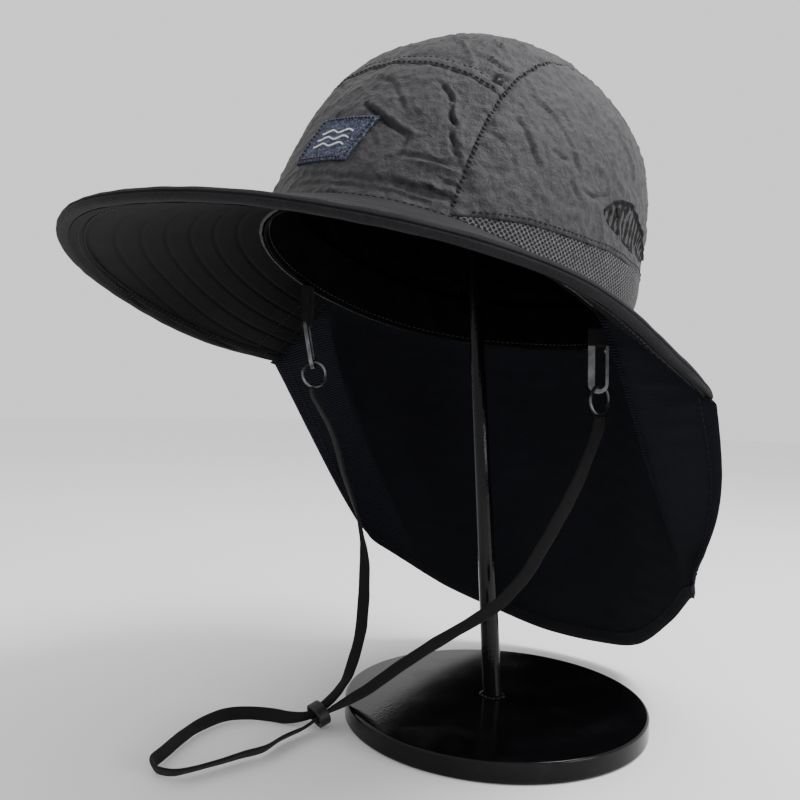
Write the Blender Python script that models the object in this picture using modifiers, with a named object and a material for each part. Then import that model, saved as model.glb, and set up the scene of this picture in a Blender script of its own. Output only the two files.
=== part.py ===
# Fishing hat with a neck flap, held up on a plain display stand.
# Metres and degrees, +Z up, origin at the centre of the stand's underside.
# The hat faces -Y and the wearer's left is +X. Its own shape is worked out in the
# hat's frame, whose origin is the middle of the head opening, and an empty tilts it.

from math import atan2, cos, degrees, pi, radians, sin

import bmesh
import bpy
from mathutils import Euler, Matrix, Vector

# Fits between pieces
GAP = 0.0003

# Crown
OPENING_LENGTH = 0.1966
OPENING_WIDTH = 0.1588
OPENING_POWER = 2.2
OPENING_EAR_DIP = 0.0062
CROWN_HEIGHT = 0.1297
CROWN_BACK_SHIFT = 0.0272
CROWN_CLOTH = 0.0013
CROWN_TOP_POWER = 4.205
CROWN_SIDE_POWER = 1.767
CROWN_SWELL = 0.0106
SWELL_TOP = 0.6
REAR_PUFF = 0.045
PUFF_TOP = 0.3
PUFF_STARTS = 80.0
PUFF_FULL = 110.0
DENT_DEPTH = 0.0014
DENT_CENTRE = 0.3
SIDE_SEAM_FRONT = 0.0541
SIDE_SEAM_BACK = 0.0572
FRONT_SEAM_HEIGHT = 0.0903
FRONT_SEAM_SLOPE = 0.8
VENT_HEIGHT = 0.0353

# Brim
BRIM_FRONT_WIDTH = 0.0900
BRIM_THICKNESS = 0.0030
BINDING_WIDTH = 0.0074
BINDING_HEIGHT = 0.0046
BINDING_END_SIZE = 0.45
BINDING_END_SHARE = 0.20
EAR_ANGLE_AT_CROWN = 92.0
EAR_ANGLE_AT_EDGE = 98.0
LEFT_EAR_EXTRA = 3.8

# Neck flap, below the middle of the head opening
FLAP_CLOTH = 0.0015
FLAP_HALF_WIDTH = 0.0970
FLAP_REACH = 0.1416
FLAP_DROP = 0.2009
FLAP_BILLOW = 0.0060
FLAP_SPREAD_POWER = 1.25
FLAP_WAVE = 0.0015
FLAP_WAVES = 5
FLAP_EAR_SHARE = 0.15
FLAP_EAR_SHIFT = 0.00036

# Sweatband and label
BAND_CLOTH = 0.0015
BAND_HEIGHT = 0.0280
LABEL_CLOTH = 0.0008
LABEL_WIDTH = 0.0305
LABEL_HEIGHT = 0.0215
LABEL_LEAN = 0.0077
LABEL_LIFT = 0.0190
LABEL_DIP = 0.0021

# Strap fittings
TAB_HEIGHT = 0.0215
TAB_WIDTH = 0.0098
TAB_THICKNESS = 0.0050
CLIP_HEIGHT = 0.0285
CLIP_WIDTH = 0.0095
CLIP_THICKNESS = 0.0020
CLIP_BAR = 0.0032
CLIP_TONGUE = 0.0015
CLIP_BOW = 0.0022
CLIP_IN_TAB = 0.0060
CLIP_SWAY_HEADING = 39.6
RING_DIAMETER = 0.0150
RING_WIRE = 0.0016
STRAP_DIAMETER = 0.0040
SLIDE_WALL = 0.0018
SLIDE_HEIGHT = 0.0056
SLIDE_ROOM = 0.0009

# Stand
BASE_RADIUS = 0.0754
BASE_THICKNESS = 0.0097
BASE_EDGE = 0.0012
POST_FOOT_RADIUS = 0.0049
POST_NECK_RADIUS = 0.0027
HEAD_RADIUS = 0.0130
POST_LEAN = Vector((-0.0625, -0.0419))

# The hat on the stand
HAT_PLACE = Vector((-0.0193, -0.0266, 0.2134))
HAT_PITCH = 13.91
HAT_ROLL = 3.42

# Brim: angle from the front, width as a share of the front's, droop in degrees
BRIM_ROWS = (
    (0, 1.000, 26.1),
    (25, 0.950, 25.3),
    (50, 0.911, 24.3),
    (75, 0.781, 30.3),
    (100, 0.706, 31.1),
    (125, 0.627, 33.7),
)

# How much more the bill droops on one side than on the other: angle, degrees
SAG_ROWS = (
    (-100, 3.0),
    (-70, 3.2),
    (-50, 2.1),
    (-20, 0.7),
    (5, 0.5),
    (25, 0.8),
    (42, 1.1),
    (56, 0.9),
    (72, 1.6),
    (88, 2.4),
    (110, 2.8),
)

# Vent's upper edge: angle from the front, share of the vent's height
VENT_ROWS = (
    (42, 0.100),
    (60, 0.380),
    (90, 0.725),
    (130, 0.960),
)

# Dents and ridges of the crown's cloth: angle, share of the crown's height,
# half width in degrees, half height as a share, depth as a share of the full one,
# less than 0 for a ridge
DENT_ROWS = (
    (38, 0.330, 6, 0.130, 0.86),
    (-24, 0.420, 12, 0.060, 0.86),
    (10, 0.700, 30, 0.030, 1.00),
    (58, 0.640, 9, 0.110, -0.86),
    (80, 0.450, 16, 0.070, 0.86),
    (118, 0.560, 12, 0.080, -0.86),
    (150, 0.330, 20, 0.080, 1.14),
    (-70, 0.380, 18, 0.080, 0.86),
    (-120, 0.520, 16, 0.100, 1.00),
    (-160, 0.200, 14, 0.060, -0.86),
)

# Flap's hem from the left front corner round the back to the right one:
# across as a share of the half width, back as a share of the reach,
# down as a share of the drop
HEM_ROWS = (
    (1.045, 0.465, 0.700),
    (1.030, 0.560, 0.741),
    (0.950, 0.672, 0.766),
    (0.766, 0.823, 0.863),
    (0.508, 0.944, 0.968),
    (0.199, 1.000, 1.000),
    (-0.162, 0.986, 0.995),
    (-0.471, 0.894, 0.945),
    (-0.729, 0.753, 0.878),
    (-0.914, 0.576, 0.786),
    (-0.997, 0.400, 0.709),
)

# Flap's billow: place along the flap as a share, its size as a share of the full one,
# and a power that moves its middle, over 1 towards the hem
BILLOW_ROWS = (
    (0.00, 1.15, 1.10),
    (0.15, 1.00, 0.60),
    (0.85, 1.00, 0.60),
    (1.00, -1.15, 0.70),
)

# Sides: name, sign of X, tab's angle from the front, height below the sweatband as a share
# of the longer tab's, heading of the clip's width, heading of the ring, sideways lean
SIDE_ROWS = (
    ("left", 1, 110.0, 0.395, 25.0, 77.0, 0.020),
    ("right", -1, -75.0, 1.000, 125.0, 72.0, 0.190),
)

# Chin strap's route, chosen by hand: from the left ring down to the slide,
# round the loop that lies on the ground and back up to the right ring
STRAP_ROUTE = (
    (0.0508, 0.0046, 0.1529),
    (0.0506, 0.0043, 0.1490),
    (0.0496, 0.0030, 0.1425),
    (0.0481, 0.0009, 0.1350),
    (0.0457, -0.0024, 0.1258),
    (0.0421, -0.0060, 0.1143),
    (0.0371, -0.0096, 0.1024),
    (0.0319, -0.0126, 0.0905),
    (0.0264, -0.0159, 0.0783),
    (0.0180, -0.0213, 0.0657),
    (0.0081, -0.0270, 0.0562),
    (-0.0022, -0.0328, 0.0481),
    (-0.0149, -0.0393, 0.0382),
    (-0.0268, -0.0470, 0.0276),
    (-0.0350, -0.0545, 0.0192),
    (-0.0408, -0.0600, 0.0142),
    (-0.0452, -0.0646, 0.0106),
    (-0.0485, -0.0684, 0.0080),
    (-0.0502, -0.0722, 0.0062),
    (-0.0508, -0.0762, 0.0049),
    (-0.0506, -0.0820, 0.0037),
    (-0.0503, -0.0900, 0.0029),
    (-0.0494, -0.0993, 0.0029),
    (-0.0472, -0.1116, 0.0029),
    (-0.0495, -0.1219, 0.0029),
    (-0.0515, -0.1340, 0.0029),
    (-0.0538, -0.1440, 0.0029),
    (-0.0569, -0.1509, 0.0029),
    (-0.0640, -0.1538, 0.0029),
    (-0.0709, -0.1509, 0.0029),
    (-0.0750, -0.1435, 0.0029),
    (-0.0822, -0.1295, 0.0029),
    (-0.0880, -0.1147, 0.0029),
    (-0.0893, -0.0993, 0.0029),
    (-0.0824, -0.0895, 0.0029),
    (-0.0728, -0.0836, 0.0029),
    (-0.0640, -0.0805, 0.0037),
    (-0.0578, -0.0772, 0.0049),
    (-0.0549, -0.0724, 0.0062),
    (-0.0545, -0.0680, 0.0080),
    (-0.0540, -0.0630, 0.0104),
    (-0.0532, -0.0575, 0.0146),
    (-0.0524, -0.0520, 0.0206),
    (-0.0539, -0.0443, 0.0331),
    (-0.0563, -0.0386, 0.0494),
    (-0.0589, -0.0355, 0.0613),
    (-0.0619, -0.0328, 0.0735),
    (-0.0655, -0.0319, 0.0887),
    (-0.0705, -0.0336, 0.1041),
    (-0.0750, -0.0372, 0.1197),
    (-0.0790, -0.0412, 0.1382),
    (-0.0838, -0.0463, 0.1515),
    (-0.0864, -0.0489, 0.1588),
    (-0.0869, -0.0494, 0.1624),
)
SLIDE_AT = 18
SLIDE_RETURNS_AT = 38

# How finely the shapes are cut
CROWN_COLUMNS = 56
CROWN_ROWS = 15
CROWN_ROW_POWER = 1.7
BRIM_COLUMNS = 36
BRIM_SEGMENTS = 5
FLAP_COLUMNS = 30
FLAP_SEGMENTS = 11
BINDING_COLUMNS = 44
BAND_COLUMNS = 44
STRAP_POINTS = 70

HAT_TILT = Euler((-radians(HAT_PITCH), radians(HAT_ROLL), 0)).to_matrix().to_4x4()
HAT_POSE = Matrix.Translation(HAT_PLACE) @ HAT_TILT


# Scene and materials

def clear_scene():
    """Start from a scene with no objects."""
    for thing in list(bpy.data.objects):
        bpy.data.objects.remove(thing, do_unlink=True)


def new_collection(name):
    """A collection under the scene's own."""
    collection = bpy.data.collections.new(name)
    bpy.context.scene.collection.children.link(collection)
    return collection


def new_material(name, colour, roughness, metallic=0.0):
    """A plain Principled material."""
    material = bpy.data.materials.new(name)
    material.use_nodes = True
    shader = material.node_tree.nodes["Principled BSDF"]
    shader.inputs["Base Color"].default_value = (*colour, 1)
    shader.inputs["Roughness"].default_value = roughness
    shader.inputs["Metallic"].default_value = metallic
    return material


clear_scene()
HAT_PARTS = new_collection("fishing_hat_on_stand")
CUTTERS = new_collection("cutters")
HAT = bpy.data.objects.new("hat", None)
HAT.matrix_world = HAT_POSE
HAT_PARTS.objects.link(HAT)

NYLON = new_material("nylon", (0.060, 0.059, 0.066), 0.62)
MESH_CLOTH = new_material("mesh_cloth", (0.110, 0.110, 0.115), 0.75)
BRIM_CLOTH = new_material("brim_cloth", (0.050, 0.050, 0.055), 0.70)
FLAP_MESH = new_material("flap_mesh", (0.020, 0.021, 0.027), 0.80)
WEBBING = new_material("webbing", (0.018, 0.018, 0.020), 0.85)
WOVEN_LABEL = new_material("woven_label", (0.045, 0.060, 0.120), 0.80)
BLACK_METAL = new_material("black_metal", (0.045, 0.045, 0.048), 0.35, 0.6)
RUBBER = new_material("rubber", (0.020, 0.020, 0.021), 0.60)
BLACK_PAINT = new_material("black_paint", (0.012, 0.012, 0.013), 0.12)


# Building tools

def add_object(name, data, material, collection=None, parent=None):
    """Put a mesh or a curve in the scene under its part's name."""
    thing = bpy.data.objects.new(name, data)
    (collection or HAT_PARTS).objects.link(thing)
    if material:
        data.materials.append(material)
    thing.parent = parent
    return thing


def shade_smooth(mesh, angle=50):
    """Smooth shading that keeps the edges sharper than the angle."""
    mesh.shade_smooth()
    mesh.set_sharp_from_angle(angle=radians(angle))


def lofted_sheet(name, columns, rows, place, closed_ends=False):
    """A grid whose two shares, 0 to 1, are sent to their places; edges that meet are joined."""
    form = bmesh.new()
    bmesh.ops.create_grid(form, x_segments=columns, y_segments=rows, size=1)
    for vertex in form.verts:
        vertex.co = place((vertex.co.x + 1) / 2, (vertex.co.y + 1) / 2)
    bmesh.ops.remove_doubles(form, verts=form.verts, dist=1e-6)
    if closed_ends:
        open_edges = [edge for edge in form.edges if edge.is_boundary]
        bmesh.ops.holes_fill(form, edges=open_edges, sides=0)
    bmesh.ops.recalc_face_normals(form, faces=form.faces)
    mesh = bpy.data.meshes.new(name)
    form.to_mesh(mesh)
    form.free()
    return mesh


def thicken(thing, thickness, offset=0.0):
    """Give an open sheet its thickness; offset -1 puts it all behind the sheet."""
    wall = thing.modifiers.new("thickness", "SOLIDIFY")
    wall.thickness = thickness
    wall.offset = offset
    return wall


def hull_cutter(name, corners):
    """A convex block through its corners, in the hat's frame."""
    form = bmesh.new()
    for corner in corners:
        form.verts.new(corner)
    bmesh.ops.convex_hull(form, input=form.verts)
    bmesh.ops.recalc_face_normals(form, faces=form.faces)
    mesh = bpy.data.meshes.new(name)
    form.to_mesh(mesh)
    form.free()
    return hide_cutter(add_object(name, mesh, None, CUTTERS, HAT))


def hide_cutter(thing):
    """Keep a cutter out of the model."""
    thing.hide_render = True
    thing.display_type = "WIRE"
    return thing


def cut(thing, cutter, operation):
    """Boolean with the exact solver."""
    modifier = thing.modifiers.new(operation.lower(), "BOOLEAN")
    modifier.operation = operation
    modifier.solver = "EXACT"
    modifier.object = cutter
    return modifier


def smooth_table(rows, column, position):
    """Value of a table's column at a position of its first column, on a smooth curve."""
    last = len(rows) - 1
    index = 0
    while index < last - 1 and position > rows[index + 1][0]:
        index += 1
    start, end = rows[index], rows[index + 1]
    share = (position - start[0]) / (end[0] - start[0])
    before = rows[max(index - 1, 0)][column] if index else end[column]
    after = rows[min(index + 2, last)][column]
    return cubic(before, start[column], end[column], after, share)


def cubic(before, start, end, after, share):
    """Catmull-Rom curve between two values or two points."""
    return start + (end - before + (2 * before - 5 * start + 4 * end - after
                    + (3 * (start - end) + after - before) * share) * share) * (share / 2)


def along(points, position):
    """Point of a smooth curve through a list, at a position counted in its points."""
    last = len(points) - 1
    index = min(int(position), last - 1)
    before = points[max(index - 1, 0)]
    after = points[min(index + 2, last)]
    return cubic(before, points[index], points[index + 1], after, position - index)


def bump(distance, half_width):
    """A smooth hump: 1 at the middle and 0 from the half width on."""
    return cos(distance / half_width * pi / 2) ** 2 if abs(distance) < half_width else 0.0


def turn_apart(one, other):
    """Angle between two directions, in degrees from -180 to 180."""
    return (one - other + 180) % 360 - 180


# The hat's surfaces

def opening_point(angle):
    """Foot of the crown's wall, at an angle from the front towards the left."""
    side, front = sin(radians(angle)), cos(radians(angle))
    radius = (abs(side) ** OPENING_POWER + abs(front) ** OPENING_POWER) ** (-1 / OPENING_POWER)
    return Vector((OPENING_WIDTH / 2 * side * radius, -OPENING_LENGTH / 2 * front * radius,
                   -OPENING_EAR_DIP * side ** 2))


def outward(angle):
    """Level direction away from the opening, square to its edge."""
    place = opening_point(angle)
    across = abs(2 * place.x / OPENING_WIDTH) ** (OPENING_POWER - 1) / OPENING_WIDTH
    ahead = abs(2 * place.y / OPENING_LENGTH) ** (OPENING_POWER - 1) / OPENING_LENGTH
    return Vector((across if place.x > 0 else -across, ahead if place.y > 0 else -ahead, 0)).normalized()


def crown_point(angle, height, puff=REAR_PUFF):
    """The crown's outer face, at an angle and a share of its height."""
    height = min(max(height, 0.0), 1.0)
    foot = opening_point(angle)
    size = (1 - height ** CROWN_TOP_POWER) ** (1 / CROWN_SIDE_POWER)
    size *= 1 + CROWN_SWELL * sin(pi * min(height / SWELL_TOP, 1))
    rear = min(max((abs(turn_apart(angle, 0)) - PUFF_STARTS) / (PUFF_FULL - PUFF_STARTS), 0), 1)
    size *= 1 + puff * rear * sin(pi * min(height / PUFF_TOP, 1))
    place = Vector((foot.x * size, foot.y * size + CROWN_BACK_SHIFT * height,
                    foot.z * (1 - height) + CROWN_HEIGHT * height))
    depth = DENT_DEPTH * sum(row[4] * bump(turn_apart(angle, row[0]), row[2]) * bump(height - row[1], row[3])
                             for row in DENT_ROWS)
    inwards = Vector((0, CROWN_BACK_SHIFT * height, CROWN_HEIGHT * DENT_CENTRE)) - place
    return place + inwards.normalized() * depth


def crown_normal(angle, height):
    """Direction out of the crown's face."""
    step = 0.4
    around = crown_point(angle + step, height) - crown_point(angle - step, height)
    upward = crown_point(angle, height + step / 100) - crown_point(angle, height - step / 100)
    return around.cross(upward).normalized()


def height_at_level(angle, level):
    """Share of the crown's height where its face is a distance above the opening."""
    return (level - opening_point(angle).z) / (CROWN_HEIGHT - opening_point(angle).z)


def side_seam(back):
    """Distance of the side seams from the middle, at a place along Y."""
    share = back / OPENING_LENGTH + 0.5
    return SIDE_SEAM_FRONT + (SIDE_SEAM_BACK - SIDE_SEAM_FRONT) * share


def brim_point(angle, distance, lift=0.0):
    """The brim's underside at a distance from the crown, or above it by the lift."""
    droop = radians(smooth_table(BRIM_ROWS, 2, abs(angle)) + smooth_table(SAG_ROWS, 1, angle))
    out = outward(angle)
    down = Vector((0, 0, -1))
    slope = out * cos(droop) + down * sin(droop)
    square = out * sin(droop) - down * cos(droop)
    return opening_point(angle) + slope * distance + square * lift


def brim_width(angle):
    """From the crown to the lower edge of the rim."""
    return BRIM_FRONT_WIDTH * smooth_table(BRIM_ROWS, 1, abs(angle))


def ear_angle(share, side):
    """Angle of one of the brim's ends, from the crown (0) to the binding (1)."""
    edge = EAR_ANGLE_AT_EDGE + (LEFT_EAR_EXTRA if side > 0 else 0)
    return EAR_ANGLE_AT_CROWN + (edge - EAR_ANGLE_AT_CROWN) * min(share, 1)


def brim_angle(around, share):
    """Angle at a place between the brim's right end (0) and its left one (1)."""
    return ear_angle(share, 1) * around - ear_angle(share, -1) * (1 - around)


def worn(point):
    """From the hat's frame to the object's."""
    return HAT_POSE @ Vector(point)


# Crown

def crown_shell(name, material):
    """The whole crown as one wall, for a panel to be cut from."""
    def place(around, up):
        return crown_point(360 * around, 1 - (1 - up) ** CROWN_ROW_POWER)
    mesh = lofted_sheet(name, CROWN_COLUMNS, CROWN_ROWS, place)
    shade_smooth(mesh)
    shell = add_object(name, mesh, material, parent=HAT)
    thicken(shell, CROWN_CLOTH, -1)
    return shell


def seam_corners(side, shift, low, high):
    """Plan of the region beyond a side seam: its corners at two heights."""
    reach = OPENING_LENGTH
    corners = []
    for back in (-reach, reach):
        for across in (side_seam(back) + shift, reach):
            corners += [(side * across, back, level) for level in (low, high)]
    return corners


def middle_corners(shift, low, high):
    """Corners of the strip between the side seams, whose floor and ceiling may slope."""
    reach = OPENING_LENGTH
    corners = []
    for back in (-reach, reach):
        for side in (-1, 1):
            across = side * (side_seam(back) - shift)
            corners += [(across, back, low(back)), (across, back, high(back))]
    return corners


def front_seam(back, shift):
    """Height of the seam between the front and the top panel, at a place along Y."""
    return FRONT_SEAM_HEIGHT - FRONT_SEAM_SLOPE * (back + OPENING_LENGTH / 2) + shift


def vent_corners(side, shift):
    """Corners of the region below the vent's upper edge, seen from the side."""
    outline = []
    for angle, share in VENT_ROWS:
        foot = opening_point(angle)
        outline.append((foot.y, foot.z + VENT_HEIGHT * share + shift))
    outline.append((OPENING_LENGTH, outline[-1][1]))
    outline += [(OPENING_LENGTH, -VENT_HEIGHT), (outline[0][0], -VENT_HEIGHT)]
    return [(side * across, back, level) for across in (0, OPENING_WIDTH) for back, level in outline]


def make_crown():
    """Six panels, each the shell's wall inside its own region, half a gap from each seam."""
    half = GAP / 2
    below = -CROWN_HEIGHT
    above = 2 * CROWN_HEIGHT
    front = crown_shell("front_panel", NYLON)
    cut(front, hull_cutter("front_region", middle_corners(
        half, lambda back: below - OPENING_LENGTH, lambda back: front_seam(back, -half))), "INTERSECT")
    top = crown_shell("top_panel", NYLON)
    cut(top, hull_cutter("top_region", middle_corners(
        half, lambda back: front_seam(back, half), lambda back: above)), "INTERSECT")
    for name, side, *_ in SIDE_ROWS:
        region = hull_cutter("side_region_" + name, seam_corners(side, half, below, above))
        panel = crown_shell("side_panel_" + name, NYLON)
        cut(panel, region, "INTERSECT")
        cut(panel, hull_cutter("vent_room_" + name, vent_corners(side, half)), "DIFFERENCE")
        vent = crown_shell("vent_" + name, MESH_CLOTH)
        cut(vent, region, "INTERSECT")
        cut(vent, hull_cutter("vent_region_" + name, vent_corners(side, -half)), "INTERSECT")


def make_sweatband():
    """Band round the inside of the opening, a gap inside the crown's wall."""
    inset = CROWN_CLOTH + 2 * GAP + BAND_CLOTH / 2

    def place(around, up):
        angle = 360 * around
        height = height_at_level(angle, opening_point(angle).z + BAND_HEIGHT * up)
        return crown_point(angle, height, 0) - outward(angle) * inset
    mesh = lofted_sheet("sweatband", BAND_COLUMNS, 3, place)
    shade_smooth(mesh)
    thicken(add_object("sweatband", mesh, WEBBING, parent=HAT), BAND_CLOTH)


def make_label():
    """Leaning patch on the front panel."""
    lift = GAP + LABEL_CLOTH / 2

    def place(across, up):
        sideways = LABEL_WIDTH * (across - 0.5) + LABEL_LEAN * (up - 0.5)
        angle = degrees(atan2(2 * sideways / OPENING_WIDTH, 1))
        level = LABEL_LIFT + LABEL_HEIGHT * up - LABEL_DIP * (across - 0.5)
        height = height_at_level(angle, level)
        return crown_point(angle, height) + crown_normal(angle, height) * lift
    mesh = lofted_sheet("label_patch", 6, 4, place)
    shade_smooth(mesh)
    thicken(add_object("label_patch", mesh, WOVEN_LABEL, parent=HAT), LABEL_CLOTH)


# Brim

def make_brim():
    """The bill, from its seam at the crown to the inside of its bound edge."""
    steepest = radians(max(row[2] for row in BRIM_ROWS))
    start = GAP + BRIM_THICKNESS / 2 * sin(steepest)

    def place(around, out):
        angle = brim_angle(around, out)
        reach = brim_width(angle) - BINDING_WIDTH - 2 * GAP
        return brim_point(angle, start + (reach - start) * out, BRIM_THICKNESS / 2)
    mesh = lofted_sheet("brim", BRIM_COLUMNS, BRIM_SEGMENTS, place)
    shade_smooth(mesh)
    thicken(add_object("brim", mesh, BRIM_CLOTH, parent=HAT), BRIM_THICKNESS)


def make_binding():
    """Padded bound edge: an oval section that gets slimmer towards the ears."""
    def place(around, section):
        angle = brim_angle(around, 1)
        from_end = min((1 - abs(2 * around - 1)) / BINDING_END_SHARE, 1)
        slim = BINDING_END_SIZE + (1 - BINDING_END_SIZE) * from_end
        turn = 2 * pi * section
        distance = brim_width(angle) - BINDING_WIDTH / 2 * (1 - slim * cos(turn))
        lift = BINDING_HEIGHT / 2 * (1 + slim * sin(turn))
        return brim_point(angle, distance, lift)
    mesh = lofted_sheet("brim_binding", BINDING_COLUMNS, 8, place, closed_ends=True)
    shade_smooth(mesh, 70)
    add_object("brim_binding", mesh, BRIM_CLOTH, parent=HAT)


# Neck flap

def flap_top(share):
    """The flap's sewn edge: along one end of the brim, round the crown's back, along the other."""
    behind = 3 * GAP + FLAP_CLOTH
    side = 1 if share < 0.5 else -1
    to_ear = min(share, 1 - share) / FLAP_EAR_SHARE
    if to_ear < 1:
        width = brim_width(ear_angle(1, side))
        out = (1 - to_ear) * width
        angle = side * ear_angle(out / (width - BINDING_WIDTH), side)
        back = outward(angle).cross(Vector((0, 0, side)))
        place = brim_point(angle, out, BRIM_THICKNESS / 2) - back * behind
        return worn(place)
    turn = (share - FLAP_EAR_SHARE) / (1 - 2 * FLAP_EAR_SHARE)
    angle = EAR_ANGLE_AT_CROWN + (360 - 2 * EAR_ANGLE_AT_CROWN) * turn
    shift = outward(angle) * FLAP_EAR_SHIFT * (1 - bump(turn - 0.5, 0.5))
    return worn(opening_point(angle) + shift - Vector((0, 0, GAP + FLAP_CLOTH / 2)))


def flap_hem(share):
    """The flap's free lower edge."""
    rows = [Vector(row) for row in HEM_ROWS]
    across, back, down = along(rows, share * (len(rows) - 1))
    return HAT_PLACE + Vector((FLAP_HALF_WIDTH * across, FLAP_REACH * back, -FLAP_DROP * down))


def flap_point(share, fall):
    """A point of the flap, from its sewn edge (0) to its hem (1)."""
    top = flap_top(share)
    hem = flap_hem(share)
    place = top + (hem - top) * fall
    spread = fall ** FLAP_SPREAD_POWER
    place.x = top.x + (hem.x - top.x) * spread
    place.y = top.y + (hem.y - top.y) * spread
    away = Vector((place.x - HAT_PLACE.x, place.y - HAT_PLACE.y, 0)).normalized()
    size = smooth_table(BILLOW_ROWS, 1, share)
    power = smooth_table(BILLOW_ROWS, 2, share)
    wave = FLAP_WAVE * sin(2 * pi * FLAP_WAVES * share) * sin(pi * fall)
    return place + away * (FLAP_BILLOW * size * sin(pi * fall ** power) + wave)


def make_flap():
    """One cloth from ear to ear."""
    mesh = lofted_sheet("neck_flap", FLAP_COLUMNS, FLAP_SEGMENTS, flap_point)
    shade_smooth(mesh, 70)
    thicken(add_object("neck_flap", mesh, FLAP_MESH), FLAP_CLOTH)


# Clips and rings

def stadium(width, height, shift=0.0, steps=8):
    """Outline of a slot, round at both ends, its height along the second axis."""
    radius = width / 2
    points = []
    for end in (1, -1):
        for step in range(steps + 1):
            turn = pi * step / steps
            points.append((shift + end * radius * cos(turn),
                           end * (height / 2 - radius + radius * sin(turn))))
    return points


def pierced_plate(name, outlines, thickness, material, matrix, collection=None):
    """A flat outline with its hole, standing up, made a mesh."""
    curve = bpy.data.curves.new(name, "CURVE")
    curve.dimensions = "2D"
    curve.fill_mode = "BOTH"
    curve.extrude = thickness / 2
    for outline in outlines:
        spline = curve.splines.new("POLY")
        spline.points.add(len(outline) - 1)
        for point, (across, up) in zip(spline.points, outline):
            point.co = (across, up, 0, 1)
        spline.use_cyclic_u = True
    draft = bpy.data.objects.new(name + "_outline", curve)
    bpy.context.scene.collection.objects.link(draft)
    mesh = bpy.data.meshes.new_from_object(draft.evaluated_get(bpy.context.evaluated_depsgraph_get()))
    bpy.data.objects.remove(draft, do_unlink=True)
    form = bmesh.new()
    form.from_mesh(mesh)
    bmesh.ops.remove_doubles(form, verts=form.verts, dist=1e-6)
    bmesh.ops.recalc_face_normals(form, faces=form.faces)
    form.to_mesh(mesh)
    form.free()
    mesh.transform(matrix @ Matrix.Rotation(pi / 2, 4, "X"))
    mesh.materials.clear()
    mesh.name = name
    return add_object(name, mesh, material, collection)


def tab_foot(angle, height):
    """Middle of the tab's lower end, in the object's frame."""
    inset = FLAP_CLOTH / 2 + 2 * GAP + TAB_WIDTH / 2
    place = opening_point(angle) - outward(angle) * inset
    slant = TAB_WIDTH / 2 * sin(radians(HAT_PITCH))
    return worn(place) - Vector((0, 0, GAP + slant + height))


def make_side_fittings(name, angle, drop, clip_heading, ring_heading, lean):
    """The tab under the sweatband, the clip that hangs in it, and the ring in the clip."""
    height = TAB_HEIGHT * drop
    foot = tab_foot(angle, height)
    sway = Matrix.Rotation(-atan2(lean, 1), 4, "Y")
    heading = Matrix.Rotation(radians(CLIP_SWAY_HEADING), 4, "Z")
    hang = Matrix.Translation(foot) @ heading @ sway @ heading.inverted()
    clip_turn = Matrix.Rotation(radians(clip_heading), 4, "Z")
    clip_place = hang @ Matrix.Translation((0, 0, CLIP_IN_TAB - CLIP_HEIGHT / 2)) @ clip_turn
    hole_width = CLIP_WIDTH - CLIP_BAR - CLIP_TONGUE
    hole_shift = (CLIP_BAR - CLIP_TONGUE) / 2
    hole_height = CLIP_HEIGHT - 2 * CLIP_BOW
    outlines = (stadium(CLIP_WIDTH, CLIP_HEIGHT), stadium(hole_width, hole_height, hole_shift))
    pierced_plate("strap_clip_" + name, outlines, CLIP_THICKNESS, BLACK_METAL, clip_place)

    room = 2 * GAP
    wide = (stadium(CLIP_WIDTH + room, CLIP_HEIGHT + room),
            stadium(hole_width - room, hole_height - room, hole_shift))
    channel = pierced_plate("tab_channel_" + name, wide, CLIP_THICKNESS + room, None, clip_place, CUTTERS)
    hide_cutter(channel)

    bpy.ops.mesh.primitive_cube_add(size=1)
    tab = bpy.context.object
    tab.name = "clip_tab_" + name
    tab.data.name = tab.name
    tab.data.transform(Matrix.Diagonal((TAB_WIDTH, TAB_THICKNESS, height, 1)))
    tab.matrix_world = Matrix.Translation(foot + Vector((0, 0, height / 2))) @ clip_turn
    tab.data.materials.append(WEBBING)
    move_to_parts(tab)
    cut(tab, channel, "DIFFERENCE")

    seat = CLIP_IN_TAB - CLIP_HEIGHT + CLIP_BOW + 3 * GAP + RING_WIRE / 2
    radius = (RING_DIAMETER - RING_WIRE) / 2
    bpy.ops.mesh.primitive_torus_add(major_radius=radius, minor_radius=RING_WIRE / 2,
                                     major_segments=20, minor_segments=6)
    ring = bpy.context.object
    ring.name = "strap_ring_" + name
    ring.data.name = ring.name
    shade_smooth(ring.data)
    ring.data.materials.append(BLACK_METAL)
    upright = Matrix.Rotation(radians(ring_heading), 4, "Z") @ Matrix.Rotation(pi / 2, 4, "X")
    ring.matrix_world = hang @ Matrix.Translation((hole_shift * cos(radians(clip_heading)),
                                                  hole_shift * sin(radians(clip_heading)),
                                                  seat - radius)) @ upright
    move_to_parts(ring)


def move_to_parts(thing):
    """From the scene's collection to the object's."""
    for collection in list(thing.users_collection):
        collection.objects.unlink(thing)
    HAT_PARTS.objects.link(thing)


# Chin strap

def strap_curve(position):
    """Point of the strap's middle line."""
    return along([Vector(point) for point in STRAP_ROUTE], position)


def make_strap():
    """A limp tape, plain here as a tube, along its whole route."""
    curve = bpy.data.curves.new("chin_strap", "CURVE")
    curve.dimensions = "3D"
    curve.bevel_depth = STRAP_DIAMETER / 2
    curve.bevel_resolution = 2
    curve.use_fill_caps = True
    spline = curve.splines.new("POLY")
    spline.points.add(STRAP_POINTS - 1)
    last = len(STRAP_ROUTE) - 1
    for step, point in enumerate(spline.points):
        point.co = (*strap_curve(last * step / (STRAP_POINTS - 1)), 1)
    add_object("chin_strap", curve, WEBBING)


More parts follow.
